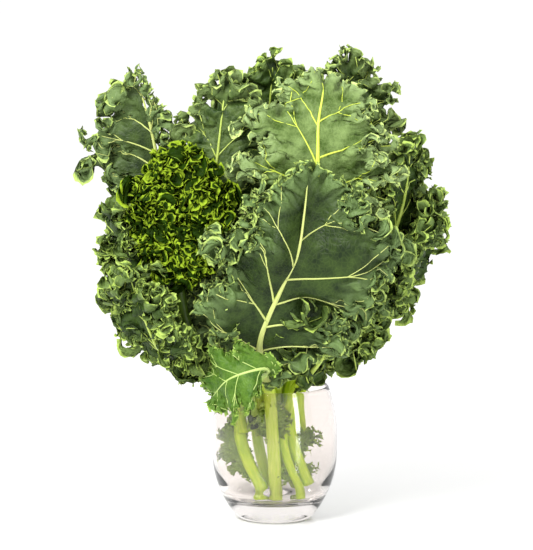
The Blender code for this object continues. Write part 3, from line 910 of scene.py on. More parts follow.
def settle(blades, steps, noise, stiffness, damping, touch, every, seed):
    starts = np.cumsum([0] + [len(b.share) for b in blades])
    count = starts[-1]
    points, home, depth = joined(blades, "points"), joined(blades, "home"), joined(blades, "depth")
    flat = np.stack([joined(blades, "x"), joined(blades, "y")], 1)
    leaf = np.repeat(np.arange(len(blades)), np.diff(starts))
    free = np.array([b.frill["free"] for b in blades])[leaf]
    cap = np.array([b.frill["cap"] for b in blades], np.float32)[leaf][:, None]
    pairs = np.concatenate([b.edges + s for b, s in zip(blades, starts)]
                           + [b.bends + s for b, s in zip(blades, starts)])
    rest = np.concatenate([joined(blades, "edge_rest"), joined(blades, "bend_rest")])
    weight = np.ones(len(pairs), np.float32)
    weight[sum(len(b.edges) for b in blades):] = stiffness
    i, j = pairs.T
    total = (np.bincount(i, weight, count) + np.bincount(j, weight, count)).astype(np.float32)[:, None]
    hold = np.maximum(HOLD * np.clip((depth - free) / HOLD_DEPTH, 0, 1), WEAKEST_HOLD)
    hold = hold.astype(np.float32)[:, None]
    rng = np.random.default_rng(seed)
    shake = rng.normal(0, noise, points.shape) * np.exp(-depth / NOISE_DEPTH)[:, None]
    points += shake.astype(np.float32)
    before = points.copy()
    for step in range(steps):
        if step % every == 0:
            contacts = find_contacts(points, leaf, flat, touch)
        moved = (points - before) * damping
        before = points.copy()
        points = points + moved
        for _ in range(2):
            pull_pairs(points, i, j, rest, weight, total)
            push_apart(points, contacts, touch)
        points += hold * (home - points)
        offset = points - home
        size = np.sqrt(np.sum(offset * offset, 1))[:, None] + 1e-9
        points = home + offset * np.minimum(1, cap / size)
        keep_off_glass(points)
    for blade, low, high in zip(blades, starts, starts[1:]):
        blade.points = points[low:high].astype(np.float32)


settle([sample], steps=20, noise=0.3, stiffness=0.4, damping=0.9, touch=3.2, every=10, seed=0)
strayed = np.linalg.norm(sample.points - sample.home, axis=1)
print("the small blade strays up to", round(float(strayed.max()), 1), "mm from its home")

# %% [markdown]
# Now every leaf gets its flat blade. It is cut a little narrower than the leaf's width, because the
# frill takes up room. Small leaflets on the stalks are blades too, only narrow ones, and they spread
# sideways to the front and not round the stalk.

# %% cut the flat blades
FRILL_ROOM = 0.86
SWELL = 3.5
LOBES = (0.16, 4.5)
BELOW_BASE, BESIDE = 5, 4  # how much more shell a blade gets than it needs
WING_START, WING_SEED = 0.6, 100


def blade_for(leaf, midrib, first, last, wide, start, frill, seed, **shape):
    rng = np.random.default_rng(seed)
    lobes = frill.get("lobes", LOBES)
    halves = [HalfBlade(first, last, w * FRILL_ROOM, start, lobes, rng) for w in wide]
    placement = Placement(leaf, midrib, max(first - BELOW_BASE, 0), last, max(wide) + BESIDE)
    return new_blade(placement, halves, frill, seed, **shape)


blades = {}
for seed, (name, leaf) in enumerate(LEAVES.items()):
    rib = midribs[name]
    frill = dict(FRILLS[leaf["frill"]])
    if "spacing" in leaf:
        frill["spacing"] = leaf["spacing"]
    blades[name] = [blade_for(leaf, rib, rib.base, rib.total, leaf["wide"], leaf["rib"], frill, seed,
                              folds=leaf.get("folds", ()), swell=leaf.get("swell", SWELL))]
    facing_front = dict(leaf, hug=0.0, facing=(0.0, -1.0, 0.0), turn_start=-1.0)  # turned from the start
    for low, high, left, right in leaf.get("wings", []):
        ends = rib.length_at_height(low), rib.length_at_height(high)
        blades[name].append(blade_for(facing_front, rib, *ends, (left, right), leaf["rib"] * WING_START,
                                      FRILLS["wing"], WING_SEED + seed))
print("blades and leaflets:", sum(len(group) for group in blades.values()))

# %% [markdown]
# On a densely curled leaf the frill doesn't stop at the margin. It runs in along the side veins and
# fills the leaf's face. So these leaves carry crests: small frilled blades that lie along a side vein
# and stand up a little from the leaf. A crest is placed along its vein like a strap along a belt.

# %% crests on the blades
class CrestPlacement:
    """Looks up where a point of the flat crest lies. x is across, y along its curve."""

    def __init__(self, path, outward):
        steps = np.linalg.norm(np.diff(path, axis=0), axis=1)
        self.lengths = np.append(0, np.cumsum(steps))
        self.path, self.side = path, unit(np.cross(unit(np.gradient(path, axis=0)), outward))

    def __call__(self, x, y):
        center = np.stack([np.interp(y, self.lengths, column) for column in self.path.T], -1)
        side = np.stack([np.interp(y, self.lengths, column) for column in self.side.T], -1)
        return center + side * x[:, None]


CREST_LIFT, CREST_BOW, CREST_TURN = 3.0, 8, 0.5
SHORTEST_CREST, CREST_END = 14, 0.98
LAST_CREST = 0.94  # no crest starts nearer to the leaf's tip
CREST_SEED = 300


def crest_blades(leaf, parent, count, half_width, start, seed):
    """Small frilled blades along the side veins, which fill the face of a densely curled leaf."""
    made, rng = [], np.random.default_rng(seed + CREST_SEED)
    for sign, half in zip((-1, 1), parent.halves):
        for k in range(count):
            share = (k + 0.3 + rng.uniform(0, 0.4)) / count * LAST_CREST
            s = np.linspace(start, CREST_END, 16)
            (ax, ay), (bx, by) = half.midrib(np.array([share])), half.margin(np.array([share]))
            x, y = sign * (ax + (bx - ax) * s), ay + (by - ay) * s + CREST_BOW * s * (1 - s)
            path = parent.placement(x, y)
            outward = unit(outward_slope(path))
            path = path + outward * (CREST_LIFT * np.sin(np.pi * (s - start) * 0.75))[:, None]
            length = np.sum(np.linalg.norm(np.diff(path, axis=0), axis=1))
            if length < SHORTEST_CREST:
                continue
            turn = rng.uniform(-CREST_TURN, CREST_TURN)
            facing = unit(outward + turn * unit(np.cross(unit(np.gradient(path, axis=0)), outward)))
            frill = FRILLS[leaf.get("crest_frill", "crest")]
            halves = [HalfBlade(0, length, half_width * rng.uniform(0.8, 1.1), 1.0, frill["lobes"], rng)
                      for _ in range(2)]
            own_seed = seed * 37 + len(made)
            made.append(new_blade(CrestPlacement(path, facing), halves, frill, own_seed))
    return made


for seed, (name, leaf) in enumerate(LEAVES.items()):
    if "crests" in leaf:
        blades[name] += crest_blades(leaf, blades[name][0], *leaf["crests"], seed)
every_blade = [blade for group in blades.values() for blade in group]
print("with the crests:", len(every_blade))
print("first nets:", sum(len(b.triangles) for b in every_blade), "triangles")

# %% [markdown]
# Four rounds of growth, each on a finer net than the one before, make waves of four sizes. Contacts are
# looked up every few steps, because finding them is the slow part.

# %% grow the frills
FINE_DEPTH = 3.4
ROUNDS = [  # steps, noise, stiffness, damping, touch, contact lookup, all in mm where they are lengths
    (90, 0.6, 0.60, 0.90, 4.5, 12),
    (70, 0.3, 0.40, 0.90, 3.2, 10),
    (60, 0.15, 0.25, 0.88, 2.1, 8),
    (30, 0.05, 0.15, 0.80, 1.3, 9),
]
rounds = ROUNDS
for number, (steps, noise, stiffness, damping, touch, every) in enumerate(rounds):
    if number:
        for blade in every_blade:
            refine(blade, FINE_DEPTH if number == len(ROUNDS) - 1 else EVERYWHERE)
    settle(every_blade, steps, noise, stiffness, damping, touch, every, seed=number)
    print("round", number, "triangles", sum(len(b.triangles) for b in every_blade),
          "after", round(time.time() - START, 1), "s")

# %% [markdown]
# The margin of a real leaf ends in small pointed teeth. Cutting them out of the net would need many more
# triangles, and drawing its points out needs none. The grown net has points along its margin, so
# each of them is drawn out by its own random length, half of them by a mm or so at most. A tooth points
# away from the points next to it that lie further in.

# %% cut the teeth
TOOTH = 3.2
TOOTH_SEED = 200
AT_RIM = 1e-3


def cut_teeth(blade):
    """Draws some points of the margin out into small teeth."""
    rng = np.random.default_rng(blade.seed + TOOTH_SEED)
    points, (i, j) = blade.points, blade.edges.T
    at_rim = blade.depth < AT_RIM
    pairs = np.concatenate([np.stack([i, j], 1), np.stack([j, i], 1)])
    pairs = pairs[at_rim[pairs[:, 0]] & ~at_rim[pairs[:, 1]]]
    number = np.bincount(pairs[:, 0], minlength=len(points))
    inside = gather(pairs[:, 0], points[pairs[:, 1]], len(points)) / np.maximum(number, 1)[:, None]
    toothed = number > 0
    reach = TOOTH * rng.random(toothed.sum()) ** 1.5
    points[toothed] += unit(points[toothed] - inside[toothed]) * reach[:, None]


for blade in every_blade:
    cut_teeth(blade)
print("points along all margins:", sum(int((b.depth < AT_RIM).sum()) for b in every_blade))

# %% [markdown]
# Stalks, midribs and veins are tapering tubes along their curves. A curve object with a bevel makes
# such tubes too. Here their points are wanted as arrays, to join them with the blade. Each ring of a
# tube is turned to the curve's direction, and the ends are closed. A stalk has a shallow groove along
# its upper side, which is a dip in the ring's radius round one direction.

# %% tubes
GROOVE_SHARPNESS = 3


def tube(path, radii, up, sides=10, groove=0.0):
    """A closed tube. up gives the direction its groove faces, one row per point of the path."""
    tangent = unit(np.gradient(path, axis=0))
    up = unit(up - tangent * np.sum(up * tangent, -1, keepdims=True))
    side = np.cross(tangent, up)
    angles = np.arange(sides) / sides * 2 * np.pi
    from_groove = np.minimum(angles, 2 * np.pi - angles)
    reach = radii[:, None] * (1 - groove * np.exp(-GROOVE_SHARPNESS * from_groove ** 2))
    rings = (path[:, None] + up[:, None] * (reach * np.cos(angles))[..., None]
             + side[:, None] * (reach * np.sin(angles))[..., None])
    count = len(path)
    points = np.concatenate([rings.reshape(-1, 3), path[[0, -1]]])
    triangles = []
    for i in range(count - 1):
        a = i * sides + np.arange(sides)
        b = i * sides + (np.arange(sides) + 1) % sides
        triangles += [np.stack([a, b, b + sides], 1), np.stack([a, b + sides, a + sides], 1)]
    a, b = np.arange(sides), (np.arange(sides) + 1) % sides
    last = (count - 1) * sides
    triangles += [np.stack([b, a, np.full(sides, count * sides)], 1),
                  np.stack([last + a, last + b, np.full(sides, count * sides + 1)], 1)]
    around = np.append(np.tile(angles, count), [0, 0])
    return points, np.concatenate(triangles), around


print("a tube of three rings has", len(tube(row[:3], np.ones(3), np.eye(3)[[2, 2, 2]])[1]), "triangles")

# %% [markdown]
# A kale stalk keeps its thickness up to the blade. Along the blade it feeds the side veins one by one,
# so it gets thinner, fast at first. The foot, where it was cut, is a little wider.

# %% how thick a stalk is
FOOT_FLARE, FLARE_LENGTH = 0.12, 6.0
TAPER, TAPER_CURVE = 0.92, 0.42


def stalk_radii(leaf, midrib, lengths):
    along = np.clip((lengths - midrib.base) / (midrib.total - midrib.base), 0, 1)
    flare = 1 + FOOT_FLARE * np.exp(-lengths / FLARE_LENGTH)
    return leaf["rib"] * (1 - TAPER * along ** TAPER_CURVE) * flare


foot = stalk_radii(LEAVES["leaf_front"], midribs["leaf_front"], np.array([0.0]))
print("the front stalk's foot is", round(2 * float(foot[0]), 1), "mm thick")

# %% [markdown]
# Side veins stand out from the leaf and catch the light, so they are tubes and not only colour. They
# are drawn on the flat leaf, where their paths are simple. To carry them onto the grown blade, each of
# their spots is found in the flat net, and takes the same place in the same triangle of the grown one.

# %% carry flat spots onto a grown blade
class Carrier:
    """Finds a flat spot's triangle, and gives the place and normal of that spot on the grown blade."""

    def __init__(self, blade):
        self.blade = blade
        self.flat = np.stack([blade.x, blade.y, 0 * blade.x], 1)
        self.tree = BVHTree.FromPolygons(self.flat.tolist(), blade.triangles.tolist())
        self.normals = vertex_normals(blade.points.astype(float), blade.triangles)

    def __call__(self, x, y):
        places, normals = [], []
        for px, py in zip(x, y):
            spot, _, index, _ = self.tree.find_nearest(Vector((px, py, 0)))
            corners = self.blade.triangles[index]
            a, b, c = self.flat[corners][:, :2]
            p = np.array(spot[:2])
            area = np.cross(b - a, c - a)
            weights = np.array([np.cross(b - p, c - p), np.cross(c - p, a - p), np.cross(a - p, b - p)])
            weights = weights / area
            places.append(weights @ self.blade.points[corners])
            normals.append(weights @ self.normals[corners])
        return np.array(places), np.array(normals)


carrier = Carrier(blades["leaf_front"][0])
print("the middle of the front leaf is at", carrier([0.0], [carrier.flat[:, 1].mean()])[0][0].round())

# %% [markdown]
# A side vein is a gentle bow from the midrib to the margin, and forks near its middle. It thins out as
# it goes, and the veins towards the leaf's tip are thinner than the lower ones.

# %% side veins
THINNEST_VEIN, SHORTEST_VEIN = 0.36, 9
VEIN_END, FORK_END = 0.93, 0.9
VEIN_BOW = 0.22
FORK_SPREAD = 0.35


def vein_table(count, rng):
    """Where each side vein leaves the midrib and where it meets the margin, as shares of both."""
    starts = (np.arange(count) + 0.55 + rng.uniform(-0.2, 0.2, count)) / (count + 0.4)
    return [(share, share + 0.16 * np.sin(np.pi * share)) for share in starts]


def side_veins(blade, table, thick, rng):
    """Tubes for the side veins and their forks."""
    carrier = Carrier(blade)
    made = []
    for sign, half, veins_here in zip((-1, 1), blade.halves, table):
        count = len(veins_here)
        for share, lean in veins_here:
            size = half.vein_length(np.array([share]))[0]
            if size < SHORTEST_VEIN:
                continue
            s = np.linspace(0, VEIN_END, max(5, int(size / 3)))
            (ax, ay), (bx, by) = half.midrib(np.array([share])), half.margin(np.array([lean]))
            bow = VEIN_BOW * size * s * (1 - s)
            x, y = ax + (bx - ax) * s - bow * 0.3, ay + (by - ay) * s + bow
            radius = np.maximum(thick * (1 - share) ** 0.4 * (1 - 0.85 * s ** 0.8), THINNEST_VEIN)
            made.append((*carrier(sign * x, y), radius))
            fork = len(s) // 2 + rng.integers(-1, 2)
            for turn in (-1, 1):
                cx, cy = half.margin(np.clip(lean + turn * FORK_SPREAD / count, 0, 1))
                t = np.linspace(0, FORK_END, max(4, int(size / 6)))
                fx, fy = x[fork] + (cx - x[fork]) * t, y[fork] + (cy - y[fork]) * t
                thin = np.maximum(radius[fork] * 0.75 * (1 - 0.8 * t), THINNEST_VEIN)
                made.append((*carrier(sign * fx, fy), thin))
    return made


print("a vein ends", round((1 - VEIN_END) * 100), "% short of the margin")

# %% [markdown]
# A leaf is one piece: skin, stalk and veins in one mesh, with a material number per triangle. The mesh
# also carries what its finish needs: the distance to the margin, and the flat leaf as a UV map. Arrays
# go into a mesh much faster with foreach_set than one vertex at a time.

# %% arrays into a mesh
UV_PER_MM = 0.01


def build_mesh(name, points, triangles, kinds, depths, flats, materials):
    mesh = bpy.data.meshes.new(name)
    mesh.vertices.add(len(points))
    mesh.vertices.foreach_set("co", (np.asarray(points) * MM).astype(np.float32).ravel())
    mesh.loops.add(3 * len(triangles))
    mesh.loops.foreach_set("vertex_index", triangles.astype(np.int32).ravel())
    mesh.polygons.add(len(triangles))
    mesh.polygons.foreach_set("loop_start", np.arange(len(triangles), dtype=np.int32) * 3)
    mesh.polygons.foreach_set("material_index", kinds.astype(np.int32))
    mesh.update(calc_edges=True)
    mesh.shade_smooth()
    mesh.attributes.new("depth", "FLOAT", "POINT").data.foreach_set("value", depths.astype(np.float32))
    layer = mesh.uv_layers.new(name="flat_leaf")
    layer.data.foreach_set("uv", (flats[triangles.ravel()] * UV_PER_MM).astype(np.float32).ravel())
    for material in materials:
        mesh.materials.append(material)
    mesh.validate()
    piece = bpy.data.objects.new(name, mesh)
    bpy.context.scene.collection.objects.link(piece)
    return piece


print("one tile of the UV map is", round(1 / UV_PER_MM), "mm of the flat leaf")

# %% [markdown]
# The midrib carries on from the stalk as one tube. On the underside of a blade it stands out, and on
# the upper side it is sunk, so its path is shifted one way or the other, softly from the blade's base.
# The tube ends short of the tip, where it has become as thin as a side vein.

# %% put a leaf together
BLADE, STALK, VEIN, LEAFLET = range(4)
RIB_END, RING_STEP, RIB_SIDES, VEIN_SIDES = 0.92, 3.0, 14, 5
RIB_RISE, RISE_LENGTH, RIB_GROOVE = 0.35, 20, 0.22
FAR_FROM_MARGIN = 50.0  # the depth of stalks and veins, which have no margin of their own
VEIN_COUNT, VEIN_THICKNESS = 6, 0.27  # on each side, and as a share of the stalk's radius


def stalk_tube(leaf, midrib):
    end = midrib.base + (midrib.total - midrib.base) * RIB_END
    lengths = np.append(np.arange(0, end, RING_STEP), end)
    outward = outward_at(leaf, midrib, lengths)
    radii = stalk_radii(leaf, midrib, lengths)
    under = -1 if leaf.get("upper_out") else 1
    shift = np.clip((lengths - midrib.base) / RISE_LENGTH, 0, 1) * radii * RIB_RISE * under
    path = midrib.at(lengths) + outward * shift[:, None]
    p, t, around = tube(path, radii, -under * outward, sides=RIB_SIDES, groove=RIB_GROOVE)
    along = np.append(np.repeat(lengths, RIB_SIDES), [0, midrib.total])
    kind = np.where(along[t].mean(1) > midrib.base, VEIN, STALK)
    return p, t, kind, np.stack([around * leaf["rib"], along], 1)


def leaf_parts(name, leaf):
    midrib, rng = midribs[name], np.random.default_rng(len(name))
    points, triangles, kinds, depths, flats = [], [], [], [], []

    def add(p, t, kind, depth, flat):
        triangles.append(t + sum(len(part) for part in points))
        points.append(p)
        kinds.append(np.full(len(t), kind) if np.isscalar(kind) else kind)
        depths.append(np.full(len(p), depth) if np.isscalar(depth) else depth)
        flats.append(flat)

    for blade in blades[name]:
        kind = LEAFLET if blade.frill is FRILLS["wing"] else BLADE
        add(blade.points, blade.triangles, kind, blade.depth, np.stack([blade.x, blade.y], 1))
    p, t, kind, flat = stalk_tube(leaf, midrib)
    add(p, t, kind, FAR_FROM_MARGIN, flat)
    table = leaf.get("veins", VEIN_COUNT)
    if isinstance(table, int):
        table = [vein_table(table, rng), vein_table(table, rng)]
    thick = leaf["rib"] * leaf.get("vein_thick", VEIN_THICKNESS)
    for path, normal, radius in side_veins(blades[name][0], table, thick, rng):
        p, t, around = tube(path, radius, normal, sides=VEIN_SIDES)
        add(p, t, VEIN, FAR_FROM_MARGIN, np.stack([around, 0 * around], 1))
    return [np.concatenate(part) for part in (points, triangles, kinds, depths, flats)]


stalk = stalk_tube(LEAVES["leaf_front"], midribs["leaf_front"])
print("the front leaf's stalk and midrib:", len(stalk[1]), "triangles")

# %% [markdown]
# Finishes are small graphs of shader nodes, and these helpers keep them short: feed gives a socket a
# constant or a link, mapped stretches a range, blend mixes two colours, texture places a pattern, and
# bump tilts the surface without moving it. Colours are written as 0 to 255 and turned into linear
# light, which is what a shader works in.

# %% helpers for finishes
def rgb(red, green, blue):
    """A colour from 0 to 255 per channel as linear values."""
    channels = [c / 255 for c in (red, green, blue)]
    return tuple(c / 12.92 if c <= 0.04045 else ((c + 0.055) / 1.055) ** 2.4 for c in channels) + (1.0,)


def new_material(name):
    material = bpy.data.materials.new(name)
    material.use_nodes = True
    nodes = material.node_tree.nodes
    return material, nodes, material.node_tree.links, nodes["Principled BSDF"]


def feed(links, socket, value):
    if isinstance(value, bpy.types.NodeSocket):
        links.new(value, socket)
    else:
        socket.default_value = value


def mapped(nodes, links, value, low, high, to_low=0.0, to_high=1.0):
    node = nodes.new("ShaderNodeMapRange")
    node.inputs["From Min"].default_value = low
    node.inputs["From Max"].default_value = high
    node.inputs["To Min"].default_value = to_low
    node.inputs["To Max"].default_value = to_high
    links.new(value, node.inputs["Value"])
    return node.outputs["Result"]


def blend(nodes, links, factor, first, second):
    node = nodes.new("ShaderNodeMix")
    node.data_type = "RGBA"
    links.new(factor, node.inputs["Factor"])
    for name, value in (("A", first), ("B", second)):
        feed(links, [s for s in node.inputs if s.name == name and s.type == "RGBA"][0], value)
    return [s for s in node.outputs if s.type == "RGBA"][0]


def texture(nodes, links, kind, vector, **settings):
    node = nodes.new("ShaderNodeTex" + kind)
    for name, value in settings.items():
        node.inputs[name].default_value = value
    links.new(vector, node.inputs["Vector"])
    return node


def bump(nodes, links, height, strength, distance):
    node = nodes.new("ShaderNodeBump")
    node.inputs["Distance"].default_value = distance
    feed(links, node.inputs["Strength"], strength)
    links.new(height, node.inputs["Height"])
    return node


def flat_leaf_map(nodes):
    node = nodes.new("ShaderNodeUVMap")
    node.uv_map = "flat_leaf"
    return node.outputs["UV"]


print("a mid grey of 128 is", round(rgb(128, 128, 128)[0], 3), "in linear light")

# %% [markdown]
# The leaf finish is built up in layers: the blade's green, broken up by soft mottling; a net of fine
# pale veins; a paler green towards the margin, partly the curls' own paler tissue and partly painted
# light, which stands in for the light that shines through the thin curls; and the margin's own thin
# rim, paler still. One bump lets the leaf bulge a little between the fine veins. A second one adds
# small creases, deepest near the margin, because the grown net's curls are coarser than a real frill.
# All this could be a painted image, but nodes stay sharp at any distance. The mottling and the veins
# are tied to the flat leaf, so that they follow the blade through every fold.

# %% the leaf finish
MOTTLE_SCALE, NET_SCALE, CREASE_SCALE = 9.0, 34.0, 240.0
NET_WIDTH, NET_SHARE = 0.12, 0.12
FRILL_SHARE = 0.9
RIM_WIDTH = 0.55  # mm
BULGE_WIDTH, NET_BUMP, NET_HEIGHT = 0.25, 0.35, 0.0006
CREASE_REACH, CREASE_NEAR, CREASE_FAR, CREASE_HEIGHT = 18.0, 0.8, 0.12, 0.0035
LEAF_ROUGHNESS = 0.46


def leaf_material(name, dark, light, vein, rim, frill, frill_reach, gloss):
    material, nodes, links, shader = new_material(name)
    flat = flat_leaf_map(nodes)
    mottle = texture(nodes, links, "Noise", flat, Scale=MOTTLE_SCALE, Detail=4.0)
    color = blend(nodes, links, mapped(nodes, links, mottle.outputs["Fac"], 0.35, 0.68), dark, light)
    fine = texture(nodes, links, "Voronoi", flat, Scale=NET_SCALE)
    fine.feature = "DISTANCE_TO_EDGE"
    lines = mapped(nodes, links, fine.outputs["Distance"], 0.0, NET_WIDTH, NET_SHARE, 0.0)
    color = blend(nodes, links, lines, color, vein)
    depth = nodes.new("ShaderNodeAttribute")
    depth.attribute_name = "depth"
    # the paler frill green near the margin: partly the curls' own tissue, partly painted light shining
    # through them
    frill_and_glow = mapped(nodes, links, depth.outputs["Fac"], 0.0, frill_reach, FRILL_SHARE, 0.0)
    color = blend(nodes, links, frill_and_glow, color, frill)
    edge = mapped(nodes, links, depth.outputs["Fac"], RIM_WIDTH * 0.35, RIM_WIDTH, 1.0, 0.0)
    color = blend(nodes, links, edge, color, rim)
    links.new(color, shader.inputs["Base Color"])
    bulges = mapped(nodes, links, fine.outputs["Distance"], 0.0, BULGE_WIDTH)
    net = bump(nodes, links, bulges, NET_BUMP, NET_HEIGHT)
    place = nodes.new("ShaderNodeTexCoord").outputs["Object"]
    crinkle = texture(nodes, links, "Noise", place, Scale=CREASE_SCALE, Detail=1.5)
    strength = mapped(nodes, links, depth.outputs["Fac"], 0.0, CREASE_REACH, CREASE_NEAR, CREASE_FAR)
    creases = bump(nodes, links, crinkle.outputs["Fac"], strength, CREASE_HEIGHT)
    links.new(net.outputs["Normal"], creases.inputs["Normal"])
    links.new(creases.outputs["Normal"], shader.inputs["Normal"])
    shader.inputs["Roughness"].default_value = LEAF_ROUGHNESS
    shader.inputs["Specular IOR Level"].default_value = gloss
    return material


print("creases are about", round(1000 / CREASE_SCALE, 1), "mm apart")

# %% [markdown]
# The leaves of one bunch differ: the old outer ones are a deep blue green, the young ones fresh, and
# the densely curled one is a yellow green with hardly any gloss. Each look is one row of greens. The
# leaflets' row is much lighter than the leaves they grow on: painted light, which stands in for the
# light that the tumbler's wall keeps from the leaflets inside it.

# %% the greens
WAXY, DULL = 0.16, 0.04
# the frill column is lighter than the blade: partly the curls' own paler tissue, partly painted light for
# light shining through them
GREENS = {  # dark, light, fine vein, rim, frill, and how far from the margin the frill's green reaches
    "deep": ((20, 35, 10), (48, 66, 24), (90, 112, 50), (164, 186, 98), (106, 130, 76), 25),
    "blue": ((26, 42, 14), (56, 74, 30), (96, 116, 54), (164, 186, 98), (108, 130, 78), 30),
    "mid": ((26, 44, 12), (60, 82, 32), (100, 122, 56), (162, 186, 88), (108, 131, 66), 9),
    "grey": ((34, 54, 18), (84, 104, 52), (128, 148, 82), (168, 190, 102), (114, 134, 78), 12),
    "pale": ((58, 80, 26), (114, 136, 78), (156, 176, 110), (184, 204, 120), (142, 164, 106), 14),
    "yellow": ((10, 25, 0), (27, 47, 2), (70, 96, 12), (136, 162, 38), (33, 57, 4), 4),
    "fresh": ((50, 84, 16), (82, 116, 34), (136, 160, 78), (146, 176, 76), (90, 122, 44), 8),
    # leaflet: painted light, lighter than the leaf's own greens to make up for the shade inside the
    # tumbler
    "leaflet": ((116, 146, 50), (156, 182, 90), (178, 198, 110), (186, 208, 106), (154, 182, 86), 8),
}
finishes = {}
for look, (*greens, frill_reach) in GREENS.items():
    gloss = DULL if look == "yellow" else WAXY
    colors = [rgb(*green) for green in greens]
    finishes[look] = leaf_material(look + "_leaf", *colors, frill_reach, gloss)
print("leaf finishes:", len(finishes))

# %% [markdown]
# Stalks are pale and juicy, with long streaks, and the veins are the same tissue. The yellow leaf's
# stalk alone is painted dark, as painted shade for the shade it lies in. The streaks are a noise that
# is stretched along the stalk.

# %% the stalk and vein finish
STREAK_STRETCH = (6.0, 0.8, 1.0)
STREAK_SCALE, STREAK_BUMP, STREAK_HEIGHT = 8.0, 0.3, 0.0008
STALK_ROUGHNESS, STALK_GLOSS = 0.38, 0.4


def stalk_material(name, base, streak):
    material, nodes, links, shader = new_material(name)
    scale = nodes.new("ShaderNodeMapping")
    scale.inputs["Scale"].default_value = STREAK_STRETCH
    links.new(flat_leaf_map(nodes), scale.inputs["Vector"])
    noise = texture(nodes, links, "Noise", scale.outputs["Vector"], Scale=STREAK_SCALE, Detail=3.0)
    streaks = mapped(nodes, links, noise.outputs["Fac"], 0.35, 0.65)
    links.new(blend(nodes, links, streaks, rgb(*base), rgb(*streak)), shader.inputs["Base Color"])
    fibres = bump(nodes, links, noise.outputs["Fac"], STREAK_BUMP, STREAK_HEIGHT)
    links.new(fibres.outputs["Normal"], shader.inputs["Normal"])
    shader.inputs["Roughness"].default_value = STALK_ROUGHNESS
    shader.inputs["Specular IOR Level"].default_value = STALK_GLOSS
    return material


STALKS = {  # base and streak
    "deep": ((204, 234, 60), (232, 250, 116)),
    "blue": ((204, 234, 60), (232, 250, 116)),
    "mid": ((188, 226, 14), (222, 246, 66)),
    "pale": ((178, 208, 40), (204, 226, 84)),
    "grey": ((178, 208, 40), (204, 226, 84)),
    # the yellow leaf's stalk is painted dark, not pale: painted shade for the shade the stalk lies in
    "yellow": ((52, 74, 16), (70, 92, 26)),
    "fresh": ((158, 190, 84), (192, 212, 124)),
}
VEINS = {
    "deep": ((164, 176, 86), (196, 204, 128)),
    "blue": ((164, 176, 86), (196, 204, 128)),
    "mid": ((152, 176, 60), (184, 202, 96)),
    "pale": ((172, 192, 52), (204, 218, 92)),
    "grey": ((160, 182, 74), (190, 206, 108)),
    "yellow": ((84, 112, 14), (112, 138, 30)),
    "fresh": ((150, 178, 84), (186, 204, 124)),
}
stalks = {look: stalk_material(look + "_stalk", *colors) for look, colors in STALKS.items()}
veins = {look: stalk_material(look + "_vein", *colors) for look, colors in VEINS.items()}
print("stalk finishes:", len(stalks), "and vein finishes:", len(veins))

# %% [markdown]
# Each leaf now becomes a piece that stands for its solid in the frame. Its slot names its kind of green,
# so leaves of one kind share a slot.

# %% build the leaves
for name, leaf in LEAVES.items():
    look = leaf.get("look", "mid")
    # the leaflets get the lighter leaflet greens, which are painted light for the shade inside the tumbler
    materials = [finishes[look], stalks[look], veins[look], finishes["leaflet"]]
    piece = build_mesh("curly_" + name, *leaf_parts(name, leaf), materials)
    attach(piece, "root")
    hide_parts(name)
    print(piece.name, len(piece.data.polygons), "triangles")

# %% [markdown]
# The tumbler is turned again with a finer outline than its solid, so that its wall bends light
# smoothly. Turning suits it, because a pressed tumbler is the same all the way round. The outline
# starts in the hollow under the foot, goes up the outside, over the round lip and down the inside to
# the floor. Real tumblers stand on a narrow ring, so the foot is flat only there.

# %% the tumbler's full outline
OUTSIDE_STEPS, LIP_STEPS, INSIDE_STEPS, CORNER_STEPS = 42, 8, 38, 10
FOOT_TOP = 1.5


def tumbler_outline():
    lip_center = RIM_RADIUS - RIM_WALL / 2
    lip_height = GLASS_HEIGHT - RIM_WALL / 2
    start = FLOOR_HEIGHT + CORNER_RADIUS
    hollow = [(0.0, 3.2), (8.0, 3.0), (14.0, 2.2), (FOOT_RADIUS - 8.0, 0.9)]
    foot = [(FOOT_RADIUS - 4.0, 0.0), (FOOT_RADIUS - 1.6, 0.0), (FOOT_RADIUS - 0.3, 0.5)]
    outside = [(float(glass_outer(h)), h) for h in np.linspace(FOOT_TOP, lip_height, OUTSIDE_STEPS)]
    lip = [(lip_center + RIM_WALL / 2 * math.cos(a), lip_height + RIM_WALL / 2 * math.sin(a))
           for a in np.linspace(0, math.pi, LIP_STEPS)[1:-1]]
    inside = [(float(glass_inner(h)), h) for h in np.linspace(lip_height, start, INSIDE_STEPS)]
    reach = float(glass_inner(start)) - CORNER_RADIUS
    corner = [(reach + CORNER_RADIUS * math.cos(a), start - CORNER_RADIUS * math.sin(a))
              for a in np.linspace(0, math.pi / 2, CORNER_STEPS)[1:]]
    return hollow + foot + outside + lip + inside + corner + [(0.0, FLOOR_HEIGHT)]


print("points on the outline:", len(tumbler_outline()))

# %% [markdown]
# Turning spins the outline round the upright axis in small equal steps. The Spin tool and the Screw
# modifier do the same, and a loop keeps every step in sight. A point on the axis stays one point, and
# triangles close the form round it. Clear glass is a fully transmitting surface with an
# index of refraction of 1.5.

# %% turn the tumbler
GLASS_AROUND = 112
GLASS_IOR = 1.5


